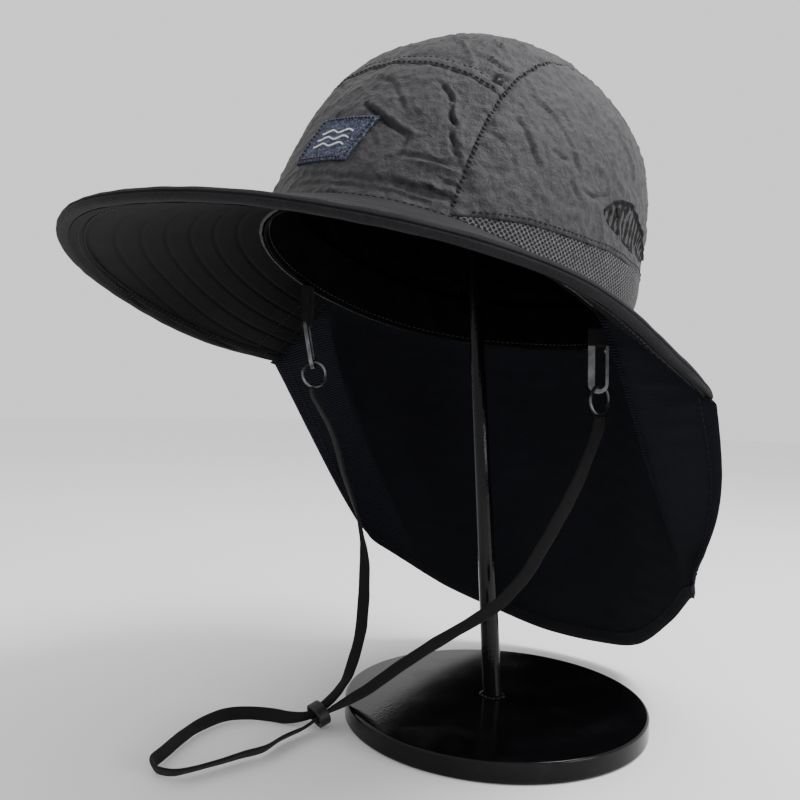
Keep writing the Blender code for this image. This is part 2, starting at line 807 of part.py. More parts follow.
def make_slide():
    """Oval band round both runs of the strap."""
    here, there = strap_curve(SLIDE_AT), strap_curve(SLIDE_RETURNS_AT)
    before = strap_curve(SLIDE_AT - 0.3) + strap_curve(SLIDE_RETURNS_AT + 0.3)
    after = strap_curve(SLIDE_AT + 0.3) + strap_curve(SLIDE_RETURNS_AT - 0.3)
    run = (after - before).normalized()
    across = there - here
    across = (across - run * across.dot(run)).normalized()
    frame = Matrix((across, run.cross(across), run)).transposed().to_4x4()
    inner = STRAP_DIAMETER + 2 * SLIDE_ROOM
    length = (there - here).length + inner
    outer = stadium(inner + 2 * SLIDE_WALL, length + 2 * SLIDE_WALL)
    outlines = (outer, stadium(inner, length))
    lie = Matrix.Rotation(-pi / 2, 4, "X") @ Matrix.Rotation(pi / 2, 4, "Y")
    pierced_plate("strap_slide", outlines, SLIDE_HEIGHT, RUBBER,
                  Matrix.Translation((here + there) / 2) @ frame @ lie)


# Stand

def lean_at(level):
    """Sideways place of the post's middle at a height."""
    return Vector((POST_LEAN.x * level, POST_LEAN.y * level, level))


def head_level():
    """Height at which the round head just meets the inside of the crown."""
    samples = [worn(crown_point(angle, 1 - (1 - up / 24) ** 2))
               for angle in range(0, 360, 6) for up in range(10, 25)]
    room = HEAD_RADIUS + CROWN_CLOTH + 3 * GAP
    low = HAT_PLACE.z
    high = HAT_PLACE.z + CROWN_HEIGHT
    for _ in range(30):
        middle = (low + high) / 2
        centre = lean_at(middle)
        if min((sample - centre).length for sample in samples) > room:
            low = middle
        else:
            high = middle
    return low


def turned(name, profile, material, steps):
    """A profile of radius and height, top first, turned about Z."""
    form = bmesh.new()
    corners = [form.verts.new((radius, 0, level)) for radius, level in profile]
    for start, end in zip(corners, corners[1:]):
        form.edges.new((start, end))
    mesh = bpy.data.meshes.new(name)
    form.to_mesh(mesh)
    form.free()
    thing = add_object(name, mesh, material)
    screw = thing.modifiers.new("turn", "SCREW")
    screw.steps = steps
    screw.render_steps = steps
    screw.use_merge_vertices = True
    screw.merge_threshold = 0.00001
    screw.use_smooth_shade = True
    return thing


def make_stand():
    """Round plate, and a leaning post that ends in a ball under the crown."""
    bpy.ops.mesh.primitive_cylinder_add(radius=BASE_RADIUS, depth=BASE_THICKNESS, vertices=56,
                                        location=(0, 0, BASE_THICKNESS / 2))
    base = bpy.context.object
    base.name = "stand_base"
    base.data.name = base.name
    shade_smooth(base.data)
    base.data.materials.append(BLACK_PAINT)
    edge = base.modifiers.new("edge", "BEVEL")
    edge.width = BASE_EDGE
    edge.segments = 2
    move_to_parts(base)

    foot = BASE_THICKNESS + GAP
    centre = head_level()
    neck_turn = atan2(POST_NECK_RADIUS, HEAD_RADIUS)
    steps = 8
    profile = []
    for step in range(steps + 1):
        turn = (pi - neck_turn) * step / steps
        profile.append((HEAD_RADIUS * sin(turn), centre + HEAD_RADIUS * cos(turn)))
    profile += [(POST_FOOT_RADIUS, foot), (0, foot)]
    post = turned("stand_post", profile, BLACK_PAINT, 20)
    evaluated = post.evaluated_get(bpy.context.evaluated_depsgraph_get())
    mesh = bpy.data.meshes.new_from_object(evaluated)
    shear = Matrix.Identity(4)
    shear[0][2] = POST_LEAN.x
    shear[1][2] = POST_LEAN.y
    mesh.transform(shear)
    post.modifiers.clear()
    post.data = mesh


make_crown()
make_sweatband()
make_label()
make_brim()
make_binding()
make_flap()
for name, _, *fitting in SIDE_ROWS:
    make_side_fittings(name, *fitting)
make_strap()
make_slide()
make_stand()
bpy.context.view_layer.update()
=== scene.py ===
# Looks of a fishing hat with a neck flap on its display stand.
# Metres and degrees. The soft pieces are worked out in the hat's own frame, as their
# solids are, with finer cloth, and are then tilted with the hat.

from math import cos, pi, radians, sin

import bmesh
import bpy
import numpy as np
from mathutils import Euler, Matrix, Vector, noise


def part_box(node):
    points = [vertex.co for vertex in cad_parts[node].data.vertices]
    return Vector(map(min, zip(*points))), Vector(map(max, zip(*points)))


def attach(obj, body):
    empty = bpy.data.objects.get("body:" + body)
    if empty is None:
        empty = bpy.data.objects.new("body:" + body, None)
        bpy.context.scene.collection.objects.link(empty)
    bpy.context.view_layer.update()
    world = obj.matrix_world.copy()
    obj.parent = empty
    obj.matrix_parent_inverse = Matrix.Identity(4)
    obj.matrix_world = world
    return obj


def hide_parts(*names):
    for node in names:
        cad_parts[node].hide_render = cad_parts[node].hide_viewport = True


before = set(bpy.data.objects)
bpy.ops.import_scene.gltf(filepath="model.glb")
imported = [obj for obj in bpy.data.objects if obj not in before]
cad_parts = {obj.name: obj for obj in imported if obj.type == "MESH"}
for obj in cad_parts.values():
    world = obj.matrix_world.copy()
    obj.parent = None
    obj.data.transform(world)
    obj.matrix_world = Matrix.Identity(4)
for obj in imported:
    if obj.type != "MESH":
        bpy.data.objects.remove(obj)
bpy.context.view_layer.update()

# The hat's sizes, as in its solids
GAP = 0.0003
OPENING_LENGTH = 0.1966
OPENING_WIDTH = 0.1588
OPENING_POWER = 2.2
OPENING_EAR_DIP = 0.0062
CROWN_HEIGHT = 0.1297
CROWN_BACK_SHIFT = 0.0272
CROWN_CLOTH = 0.0013
CROWN_TOP_POWER = 4.205
CROWN_SIDE_POWER = 1.767
CROWN_SWELL = 0.0106
SWELL_TOP = 0.6
REAR_PUFF = 0.045
PUFF_TOP = 0.3
PUFF_STARTS = 80.0
PUFF_FULL = 110.0
SIDE_SEAM_FRONT = 0.0541
SIDE_SEAM_BACK = 0.0572
FRONT_SEAM_HEIGHT = 0.0903
FRONT_SEAM_SLOPE = 0.8
VENT_HEIGHT = 0.0353
BRIM_FRONT_WIDTH = 0.0900
BRIM_THICKNESS = 0.0030
BINDING_WIDTH = 0.0074
BINDING_HEIGHT = 0.0046
BINDING_END_SIZE = 0.45
BINDING_END_SHARE = 0.20
EAR_ANGLE_AT_CROWN = 92.0
EAR_ANGLE_AT_EDGE = 98.0
LEFT_EAR_EXTRA = 3.8
FLAP_CLOTH = 0.0015
FLAP_HALF_WIDTH = 0.0970
FLAP_REACH = 0.1416
FLAP_DROP = 0.2009
FLAP_BILLOW = 0.0060
FLAP_SPREAD_POWER = 1.25
FLAP_WAVE = 0.0015
FLAP_WAVES = 5
FLAP_EAR_SHARE = 0.15
FLAP_EAR_SHIFT = 0.00036
FLAP_BEHIND = 3 * GAP + FLAP_CLOTH
BAND_CLOTH = 0.0015
BAND_HEIGHT = 0.0280
LABEL_CLOTH = 0.0008
LABEL_WIDTH = 0.0305
LABEL_HEIGHT = 0.0215
LABEL_LEAN = 0.0077
LABEL_LIFT = 0.0190
LABEL_DIP = 0.0021
HAT_PLACE = Vector((-0.0193, -0.0266, 0.2134))
HAT_PITCH = 13.91
HAT_ROLL = 3.42

# Brim: angle from the front, width as a share of the front's, droop in degrees
BRIM_ROWS = (
    (0, 1.000, 26.1),
    (25, 0.950, 25.3),
    (50, 0.911, 24.3),
    (75, 0.781, 30.3),
    (100, 0.706, 31.1),
    (125, 0.627, 33.7),
)

# How much more the bill droops on one side than on the other: angle, degrees
SAG_ROWS = (
    (-100, 3.0),
    (-70, 3.2),
    (-50, 2.1),
    (-20, 0.7),
    (5, 0.5),
    (25, 0.8),
    (42, 1.1),
    (56, 0.9),
    (72, 1.6),
    (88, 2.4),
    (110, 2.8),
)

# Vent's upper edge: angle from the front, share of the vent's height
VENT_ROWS = (
    (42, 0.100),
    (60, 0.380),
    (90, 0.725),
    (130, 0.960),
    (180, 0.960),
)

# Flap's billow: place along the flap as a share, its size as a share of the full one,
# and a power that moves its middle, over 1 towards the hem
BILLOW_ROWS = (
    (0.00, 1.15, 1.10),
    (0.15, 1.00, 0.60),
    (0.85, 1.00, 0.60),
    (1.00, -1.15, 0.70),
)

# Flap's hem: across, back and down as shares of half width, reach and drop
HEM_ROWS = (
    (1.045, 0.465, 0.700),
    (1.030, 0.560, 0.741),
    (0.950, 0.672, 0.766),
    (0.766, 0.823, 0.863),
    (0.508, 0.944, 0.968),
    (0.199, 1.000, 1.000),
    (-0.162, 0.986, 0.995),
    (-0.471, 0.894, 0.945),
    (-0.729, 0.753, 0.878),
    (-0.914, 0.576, 0.786),
    (-0.997, 0.400, 0.709),
)

# Folds of the crown: half width and depth in millimetres (less than 0 for a ridge), then
# the angles and shares of height that each passes through
FOLDS = (
    (1.2, 2.9, (6.0, 0.368), (9.5, 0.345), (13.0, 0.318), (18.0, 0.284), (22.0, 0.262),
     (24.0, 0.249)),
    (1.0, 1.2, (24.0, 0.249), (23.9, 0.228), (23.5, 0.206)),
    (1.0, 1.8, (25.5, 0.466), (29.5, 0.434), (31.5, 0.400)),
    (1.0, 2.2, (31.2, 0.385), (33.0, 0.345), (34.6, 0.318)),
    (1.0, 2.2, (34.0, 0.303), (35.6, 0.270), (37.2, 0.240)),
    (0.9, 1.6, (36.2, 0.236), (38.4, 0.210)),
    (1.9, 2.0, (22.5, 0.088), (26.0, 0.084), (30.0, 0.080), (35.2, 0.076), (39.6, 0.074)),
    (1.3, 1.6, (31.0, 0.092), (36.0, 0.086), (40.4, 0.078)),
    (0.9, 1.3, (36.8, 0.133), (38.6, 0.126), (40.6, 0.124)),
    (1.3, -1.1, (29.0, 0.170), (34.8, 0.172), (40.6, 0.158)),
    (1.1, 0.8, (24.0, 0.180), (31.0, 0.190), (37.5, 0.180)),
    (1.1, 2.0, (33.0, 0.628), (37.5, 0.612), (42.0, 0.600)),
    (1.0, 1.7, (37.5, 0.545), (40.4, 0.526), (43.4, 0.516)),
    (0.9, 1.2, (34.0, 0.570), (39.0, 0.556), (43.0, 0.548)),
    (1.0, -1.2, (16.0, 0.800), (20.0, 0.720), (28.0, 0.640), (33.8, 0.549)),
    (1.0, -1.0, (31.0, 0.760), (36.0, 0.705), (42.0, 0.650)),
    (0.9, -0.9, (26.0, 0.720), (33.0, 0.690), (38.0, 0.660)),
    (0.9, 1.2, (42.6, 0.386), (44.6, 0.374), (46.0, 0.360)),
    (0.8, 0.8, (43.0, 0.330), (46.0, 0.320), (48.0, 0.300)),
    (1.2, 1.0, (47.5, 0.430), (51.0, 0.386), (54.0, 0.340), (58.0, 0.290)),
    (1.1, 0.8, (53.0, 0.510), (58.0, 0.486), (64.0, 0.430), (70.0, 0.360)),
    (1.1, 0.9, (61.0, 0.366), (64.0, 0.358), (66.0, 0.374)),
    (1.0, 0.7, (50.4, 0.290), (52.0, 0.250), (54.0, 0.222)),
    (1.0, 0.9, (66.5, 0.326), (70.0, 0.290), (72.4, 0.262)),
    (1.0, 1.1, (72.8, 0.307), (78.0, 0.317), (82.0, 0.350), (84.0, 0.372)),
    (1.4, -0.8, (80.0, 0.660), (86.0, 0.610), (92.5, 0.570), (97.0, 0.500)),
    (2.0, 1.0, (-12.0, 0.122), (-2.0, 0.098), (8.0, 0.086), (22.0, 0.078)),
    (1.6, 0.8, (-6.0, 0.070), (10.0, 0.058), (26.0, 0.050), (38.0, 0.048)),
    (2.2, 0.8, (-22.0, 0.561), (-15.0, 0.510), (-8.5, 0.449)),
    (1.4, 0.7, (4.0, 0.500), (10.0, 0.470), (16.0, 0.400), (20.0, 0.330)),
    (1.5, 1.2, (-30.0, 0.330), (-22.0, 0.250)),
    (1.8, 1.6, (-38.0, 0.120), (-28.0, 0.100)),
    (1.2, 0.9, (-60.0, 0.420), (-52.0, 0.330), (-49.0, 0.260)),
    (1.1, 0.9, (-84.0, 0.330), (-78.0, 0.300), (-70.0, 0.340)),
    (1.4, -0.7, (-110.0, 0.480), (-98.0, 0.560)),
    (1.3, 0.9, (118.0, 0.500), (124.0, 0.470), (128.0, 0.420)),
    (1.8, 1.2, (150.0, 0.420), (158.0, 0.390), (165.0, 0.380)),
    (1.8, 1.1, (172.0, 0.520), (180.0, 0.560), (186.0, 0.580)),
    (1.6, 1.2, (-160.0, 0.300), (-148.0, 0.350)),
)

# Distances from the crown's foot of the brim's rows of stitching
QUILT_ROWS = (0.0100, 0.0205, 0.0310, 0.0415, 0.0520, 0.0625, 0.0730)

# Chin strap's route, as in its solid
STRAP_ROUTE = (
    (0.0508, 0.0046, 0.1529),
    (0.0506, 0.0043, 0.1490),
    (0.0496, 0.0030, 0.1425),
    (0.0481, 0.0009, 0.1350),
    (0.0457, -0.0024, 0.1258),
    (0.0421, -0.0060, 0.1143),
    (0.0371, -0.0096, 0.1024),
    (0.0319, -0.0126, 0.0905),
    (0.0264, -0.0159, 0.0783),
    (0.0180, -0.0213, 0.0657),
    (0.0081, -0.0270, 0.0562),
    (-0.0022, -0.0328, 0.0481),
    (-0.0149, -0.0393, 0.0382),
    (-0.0268, -0.0470, 0.0276),
    (-0.0350, -0.0545, 0.0192),
    (-0.0408, -0.0600, 0.0142),
    (-0.0452, -0.0646, 0.0106),
    (-0.0485, -0.0684, 0.0080),
    (-0.0502, -0.0722, 0.0062),
    (-0.0508, -0.0762, 0.0049),
    (-0.0506, -0.0820, 0.0037),
    (-0.0503, -0.0900, 0.0029),
    (-0.0494, -0.0993, 0.0029),
    (-0.0472, -0.1116, 0.0029),
    (-0.0495, -0.1219, 0.0029),
    (-0.0515, -0.1340, 0.0029),
    (-0.0538, -0.1440, 0.0029),
    (-0.0569, -0.1509, 0.0029),
    (-0.0640, -0.1538, 0.0029),
    (-0.0709, -0.1509, 0.0029),
    (-0.0750, -0.1435, 0.0029),
    (-0.0822, -0.1295, 0.0029),
    (-0.0880, -0.1147, 0.0029),
    (-0.0893, -0.0993, 0.0029),
    (-0.0824, -0.0895, 0.0029),
    (-0.0728, -0.0836, 0.0029),
    (-0.0640, -0.0805, 0.0037),
    (-0.0578, -0.0772, 0.0049),
    (-0.0549, -0.0724, 0.0062),
    (-0.0545, -0.0680, 0.0080),
    (-0.0540, -0.0630, 0.0104),
    (-0.0532, -0.0575, 0.0146),
    (-0.0524, -0.0520, 0.0206),
    (-0.0539, -0.0443, 0.0331),
    (-0.0563, -0.0386, 0.0494),
    (-0.0589, -0.0355, 0.0613),
    (-0.0619, -0.0328, 0.0735),
    (-0.0655, -0.0319, 0.0887),
    (-0.0705, -0.0336, 0.1041),
    (-0.0750, -0.0372, 0.1197),
    (-0.0790, -0.0412, 0.1382),
    (-0.0838, -0.0463, 0.1515),
    (-0.0864, -0.0489, 0.1588),
    (-0.0869, -0.0494, 0.1624),
)

# How the tape turns along its route: place along it as a share, and the tilt of the
# tape's width from the level, in degrees
TAPE_ROWS = (
    (0.00, 78),
    (0.06, 84),
    (0.20, 78),
    (0.28, 70),
    (0.33, 40),
    (0.37, 30),
    (0.43, 48),
    (0.50, 40),
    (0.55, 68),
    (0.60, 76),
    (0.66, 66),
    (0.72, 20),
    (0.78, 5),
    (0.86, 20),
    (1.00, 28),
)
TAPE_WIDTH = 0.0062
TAPE_THICKNESS = 0.0015
TAPE_STEPS = 420
GATHERS = (0.335, 0.715)
GATHER_REACH = 0.05
SEWN_SHARE = 0.052

HAT_TILT = Euler((-radians(HAT_PITCH), radians(HAT_ROLL), 0)).to_matrix().to_4x4()
HAT_POSE = np.array(Matrix.Translation(HAT_PLACE) @ HAT_TILT)
MILLIMETRE = 0.001
SEAM_DEPTH = 3.0 * MILLIMETRE

# Sewing: a stitch and the space after it, the lift of a flat thread, and the short
# slanted stitches across the side seams
STITCH = 2.2 * MILLIMETRE
STITCH_SPACE = 0.8 * MILLIMETRE
THREAD_LIFT = 0.05 * MILLIMETRE
CROSS_LENGTH = 2.4 * MILLIMETRE
CROSS_SPACE = 2.3 * MILLIMETRE
CROSS_SLANT = 0.45


# Camera, as the photograph was taken

CAMERA_PLACE = Vector((0.2184, -0.3461, 0.1578))
CAMERA_RIGHT = Vector((0.770, 0.637, 0.031))
CAMERA_UP = Vector((-0.024, -0.020, 1.0))
SENSOR = 36.0
LENS = 36.0


def set_camera():
    """Camera at the fitted place, with no shift."""
    data = bpy.data.cameras.new("view")
    data.sensor_width = SENSOR
    data.lens = LENS
    data.clip_start = 0.01
    camera = bpy.data.objects.new("view", data)
    back = CAMERA_RIGHT.cross(CAMERA_UP).normalized()
    up = back.cross(CAMERA_RIGHT).normalized()
    turn = Matrix((CAMERA_RIGHT.normalized(), up, back)).transposed().to_4x4()
    camera.matrix_world = Matrix.Translation(CAMERA_PLACE) @ turn
    bpy.context.scene.collection.objects.link(camera)
    bpy.context.scene.camera = camera


# Cloth and mesh tools

def deselect_all():
    """Leave nothing selected."""
    for thing in bpy.context.selected_objects:
        thing.select_set(False)


def turned(directions):
    """Directions from the hat's frame to the object's."""
    return directions @ HAT_POSE[:3, :3].T


def worn(places):
    """Places from the hat's frame to the object's."""
    return turned(places) + HAT_POSE[:3, 3]


def unit(vectors):
    """Each vector at length 1."""
    return vectors / np.maximum(np.linalg.norm(vectors, axis=-1, keepdims=True), 1e-12)


def wrapped(angle):
    """Angles brought to between -180 and 180."""
    return (np.asarray(angle) + 180) % 360 - 180


def hump(distance, half_width):
    """1 at the middle of a round hump and 0 from the half width on."""
    share = np.clip(np.abs(distance) / half_width, 0, 1)
    return np.cos(share * pi / 2) ** 2


def groove(distance, width):
    """1 along a line and 0 away from it, with soft sides."""
    return np.exp(-(distance / width) ** 2)


def ramp(value, low, high):
    """0 below the low value and 1 above the high one, smooth between."""
    share = np.clip((value - low) / (high - low), 0, 1)
    return share * share * (3 - 2 * share)


def table(rows, column, positions):
    """Smooth curve through a table's column, as in the solids, at many positions."""
    values = np.array(rows, float)
    keys = values[:, 0]
    last = len(keys) - 1
    spots = np.asarray(positions, float)
    index = np.clip(np.searchsorted(keys, spots, "left") - 1, 0, last - 1)
    start, end = values[index, column], values[index + 1, column]
    before = np.where(index > 0, values[np.maximum(index - 1, 0), column], end)
    after = values[np.minimum(index + 2, last), column]
    share = (spots - keys[index]) / (keys[index + 1] - keys[index])
    return cubic(before, start, end, after, share)


def cubic(before, start, end, after, share):
    """Catmull-Rom curve between two values or points."""
    return start + (end - before + (2 * before - 5 * start + 4 * end - after
                    + (3 * (start - end) + after - before) * share) * share) * (share / 2)


def along(points, positions):
    """Points of a smooth curve through a list, at positions counted in its points."""
    values = np.array(points, float)
    last = len(values) - 1
    spots = np.asarray(positions, float)
    index = np.minimum(spots.astype(int), last - 1)
    share = (spots - index)[..., None]
    return cubic(values[np.maximum(index - 1, 0)], values[index], values[index + 1],
                 values[np.minimum(index + 2, last)], share)


def crumple(places, size, seed):
    """Smooth random value, about -1 to 1, at each place."""
    shift = Vector((seed * 17.3, seed * 5.1, seed * 9.7))
    flat = places.reshape(-1, 3) / size
    values = [noise.noise(Vector(place) + shift) for place in flat.tolist()]
    return np.array(values).reshape(places.shape[:-1])


def creases(places, size, seed):
    """Thin random ridges, 0 to 1."""
    return np.clip(1 - 3.2 * np.abs(crumple(places, size, seed)), 0, 1) ** 1.5


def grid_normals(places):
    """Direction square to a grid of places."""
    down = np.gradient(places, axis=0)
    across = np.gradient(places, axis=1)
    return unit(np.cross(across, down))


def spread(places):
    """Lengths along a grid's rows and columns, as cloth coordinates in metres."""
    across = np.linalg.norm(np.diff(places, axis=1), axis=2)
    middle = across[len(across) // 2]
    u = np.concatenate(([0], np.cumsum(middle)))
    down = np.linalg.norm(np.diff(places, axis=0), axis=2)
    v = np.vstack((np.zeros(places.shape[1]), np.cumsum(down, axis=0)))
    return np.dstack((np.broadcast_to(u, v.shape), v))


def grid_mesh(name, places, cloth):
    """Sheet through a grid of places, with its cloth coordinates as a UV map."""
    rows, columns = places.shape[:2]
    corner = np.arange(rows * columns).reshape(rows, columns)
    faces = np.stack((corner[:-1, :-1], corner[:-1, 1:], corner[1:, 1:], corner[1:, :-1]), axis=-1)
    mesh = bpy.data.meshes.new(name)
    mesh.from_pydata(places.reshape(-1, 3).tolist(), [], faces.reshape(-1, 4).tolist())
    cloth_map = mesh.uv_layers.new(name="cloth")
    cloth_map.data.foreach_set("uv", cloth.reshape(-1, 2)[faces.reshape(-1)].astype(np.float32).ravel())
    return mesh


def mend(mesh, join=2e-6, caps=False):
    """Join the edges that meet, close open ends and turn the faces one way."""
    form = bmesh.new()
    form.from_mesh(mesh)
    bmesh.ops.remove_doubles(form, verts=form.verts, dist=join)
    bmesh.ops.dissolve_degenerate(form, edges=form.edges, dist=join / 2)
    if caps:
        open_edges = [edge for edge in form.edges if edge.is_boundary]
        bmesh.ops.holes_fill(form, edges=open_edges, sides=0)
    bmesh.ops.recalc_face_normals(form, faces=form.faces)
    form.to_mesh(mesh)
    form.free()
    return mesh


def cut_away(mesh, place, direction):
    """Remove what lies beyond a plane, on the side that the direction points to."""
    form = bmesh.new()
    form.from_mesh(mesh)
    bmesh.ops.bisect_plane(form, geom=form.verts[:] + form.edges[:] + form.faces[:], dist=1e-7,
                           plane_co=place, plane_no=direction, clear_outer=True)
    form.to_mesh(mesh)
    form.free()
    return mesh


def face_away(mesh, centre):
    """Turn a sheet so that most of it faces away from a point."""
    normals = np.zeros(len(mesh.polygons) * 3)
    centres = np.zeros(len(mesh.polygons) * 3)
    mesh.polygons.foreach_get("normal", normals)
    mesh.polygons.foreach_get("center", centres)
    outwards = (centres.reshape(-1, 3) - np.array(centre)) * normals.reshape(-1, 3)
    if outwards.sum() < 0:
        mesh.flip_normals()
    return mesh


def made_mesh(move=Matrix()):
    """The mesh of the object just made, moved to its place, without its object."""
    made = bpy.context.object
    mesh = made.data
    mesh.transform(move @ made.matrix_world)
    bpy.data.objects.remove(made)
    return mesh


def facing(place, direction):
    """Move to a place, turned from straight up to a direction."""
    turn = Vector(direction).to_track_quat("Z", "Y").to_matrix().to_4x4()
    return Matrix.Translation(place) @ turn


def node_points(node):
    """Places of all the corners of a node's solid."""
    return np.array([vertex.co[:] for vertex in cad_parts[node].data.vertices])


def new_piece(name, mesh, material, nodes=(), angle=40):
    """An object for a finished mesh, riding with the hat and standing for its solids."""
    piece = bpy.data.objects.new(name, mesh)
    bpy.context.scene.collection.objects.link(piece)
    mesh.materials.clear()
    mesh.materials.append(material)
    mesh.shade_smooth()
    mesh.set_sharp_from_angle(angle=radians(angle))
    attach(piece, "root")
    if nodes:
        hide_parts(*nodes)
    return piece


def apply_modifier(piece, kind, **settings):
    """Add a modifier and apply it at once."""
    deselect_all()
    bpy.context.view_layer.objects.active = piece
    piece.select_set(True)
    modifier = piece.modifiers.new(kind.lower(), kind)
    for key, value in settings.items():
        setattr(modifier, key, value)
    bpy.ops.object.modifier_apply(modifier=modifier.name)
    piece.select_set(False)


def bevel(piece, width, segments=3):
    """Round a piece's sharp edges."""
    apply_modifier(piece, "BEVEL", width=width, segments=segments, limit_method="ANGLE",
                   angle_limit=radians(40))


def bars(name, places, ends, normals, width, height):
    """Many small stitches as one mesh: each a bar that tapers to both of its ends."""
    run = unit(ends - places)
    side = unit(np.cross(normals, run))
    up = np.cross(run, side)
    length = np.linalg.norm(ends - places, axis=1, keepdims=True)
    rings = [places - up * height * 0.5]
    for share in (0.2, 0.8):
        middle = places + run * length * share
        for across, rise in ((1, -0.5), (0.7, 0.6), (-0.7, 0.6), (-1, -0.5)):
            rings.append(middle + side * width / 2 * across + up * height * rise)
    rings.append(ends - up * height * 0.5)
    points = np.stack(rings, axis=1)
    faces = [(0, 1, 2), (0, 2, 3), (0, 3, 4), (0, 4, 1), (9, 6, 5), (9, 7, 6), (9, 8, 7), (9, 5, 8)]
    quads = [(1, 5, 6, 2), (2, 6, 7, 3), (3, 7, 8, 4), (4, 8, 5, 1)]
    shift = np.arange(len(points)) * 10
    polygons = []
    for corners in faces + quads:
        polygons += (np.array(corners)[None, :] + shift[:, None]).tolist()
    mesh = bpy.data.meshes.new(name)
    mesh.from_pydata(points.reshape(-1, 3).tolist(), [], polygons)
    return mend(mesh, 1e-9)


def travel(places):
    """Distance along a line of places, at each of them."""
    steps = np.linalg.norm(np.diff(places, axis=0), axis=1)
    return np.concatenate(([0], np.cumsum(steps)))


def sample(spots, travelled, values):
    """Places or directions at distances along a line."""
    return np.stack([np.interp(spots, travelled, values[:, axis]) for axis in range(3)], axis=1)


def stitched(places, normals, length=STITCH, space=STITCH_SPACE):
    """Starts, ends and normals of the stitches along a line of places."""
    travelled = travel(places)
    count = max(int(travelled[-1] / (length + space)), 1)
    starts = np.arange(count) * (length + space) + space / 2
    facing = unit(sample(starts + length / 2, travelled, normals))
    return sample(starts, travelled, places), sample(starts + length, travelled, places), facing


def sew(name, rows, width, height, material):
    """A piece made of rows of stitches, their width and height in millimetres."""
    stitches = [np.concatenate(column) for column in zip(*rows)]
    mesh = bars(name, *stitches, width * MILLIMETRE, height * MILLIMETRE)
    return new_piece(name, mesh, material, angle=60)


# The hat's surfaces

def opening_point(angle):
    """Foot of the crown's wall, at angles from the front towards the left."""
    turn = np.radians(angle)
    side, front = np.sin(turn), np.cos(turn)
    radius = (np.abs(side) ** OPENING_POWER + np.abs(front) ** OPENING_POWER) ** (-1 / OPENING_POWER)
    return np.stack((OPENING_WIDTH / 2 * side * radius, -OPENING_LENGTH / 2 * front * radius,
                     -OPENING_EAR_DIP * side ** 2), axis=-1)


def outward(angle):
    """Level direction away from the opening, square to its edge."""
    place = opening_point(angle)
    across = np.abs(2 * place[..., 0] / OPENING_WIDTH) ** (OPENING_POWER - 1) / OPENING_WIDTH
    ahead = np.abs(2 * place[..., 1] / OPENING_LENGTH) ** (OPENING_POWER - 1) / OPENING_LENGTH
    across, ahead = np.sign(place[..., 0]) * across, np.sign(place[..., 1]) * ahead
    return unit(np.stack((across, ahead, 0 * ahead), axis=-1))


def crown_point(angle, height, puff=REAR_PUFF):
    """The crown's outer face before its cloth is crumpled."""
    height = np.clip(height, 0, 1)
    foot = opening_point(angle)
    size = (1 - height ** CROWN_TOP_POWER) ** (1 / CROWN_SIDE_POWER)
    size = size * (1 + CROWN_SWELL * np.sin(pi * np.minimum(height / SWELL_TOP, 1)))
    rear = np.clip((np.abs(wrapped(angle)) - PUFF_STARTS) / (PUFF_FULL - PUFF_STARTS), 0, 1)
    size = size * (1 + puff * rear * np.sin(pi * np.minimum(height / PUFF_TOP, 1)))
    return np.stack((foot[..., 0] * size, foot[..., 1] * size + CROWN_BACK_SHIFT * height,
                     foot[..., 2] * (1 - height) + CROWN_HEIGHT * height), axis=-1)


def crown_normal(angle, height):
    """Direction out of the crown's face."""
    turn, rise = 0.4, 0.004
    around = crown_point(angle + turn, height) - crown_point(angle - turn, height)
    upward = crown_point(angle, height + rise) - crown_point(angle, height - rise)
    return unit(np.cross(around, upward))


def height_at_level(angle, level):
    """Share of the crown's height at a distance above the opening."""
    foot = opening_point(angle)[..., 2]
    return (level - foot) / (CROWN_HEIGHT - foot)


def side_seam(back):
    """Distance of the side seams from the middle, at places along Y."""
    return SIDE_SEAM_FRONT + (SIDE_SEAM_BACK - SIDE_SEAM_FRONT) * (back / OPENING_LENGTH + 0.5)


def past_side_seam(places):
    """How far places lie beyond the side seams, less than 0 between them."""
    return np.abs(places[..., 0]) - side_seam(places[..., 1])


def inside_seam(places):
    """How far places lie between the side seams, less than 0 beyond them."""
    return -past_side_seam(places)


def past_front_seam(places):
    """How far places lie above the seam between the front and the top panel."""
    level = FRONT_SEAM_HEIGHT - FRONT_SEAM_SLOPE * (places[..., 1] + OPENING_LENGTH / 2)
    return (places[..., 2] - level) / (1 + FRONT_SEAM_SLOPE ** 2) ** 0.5


def vent_edge(angle):
    """Share of the crown's height that the vent reaches."""
    level = VENT_HEIGHT * np.interp(np.abs(wrapped(angle)), *zip(*VENT_ROWS))
    return level / (CROWN_HEIGHT - opening_point(angle)[..., 2])


def sign_change(test, low, high, count):
    """Values between two others where a test changes its sign."""
    low, high = np.full(count, float(low)), np.full(count, float(high))
    sign = np.sign(test(low))
    for _ in range(40):
        middle = (low + high) / 2
        same = np.sign(test(middle)) == sign
        low, high = np.where(same, middle, low), np.where(same, high, middle)
    return low


def height_where(angle, test, low, high):
    """Share of the height where a test of the crown's places changes its sign."""
    return sign_change(lambda height: test(crown_point(angle, height)), low, high, len(angle))


def angle_where(height, low, high):
    """Angle between two others where the side seam crosses each height."""
    return sign_change(lambda angle: past_side_seam(crown_point(angle, height)), low, high, len(height))


def brim_width(angle):
    """From the crown to the lower edge of the rim."""
    return BRIM_FRONT_WIDTH * table(BRIM_ROWS, 1, np.abs(angle))


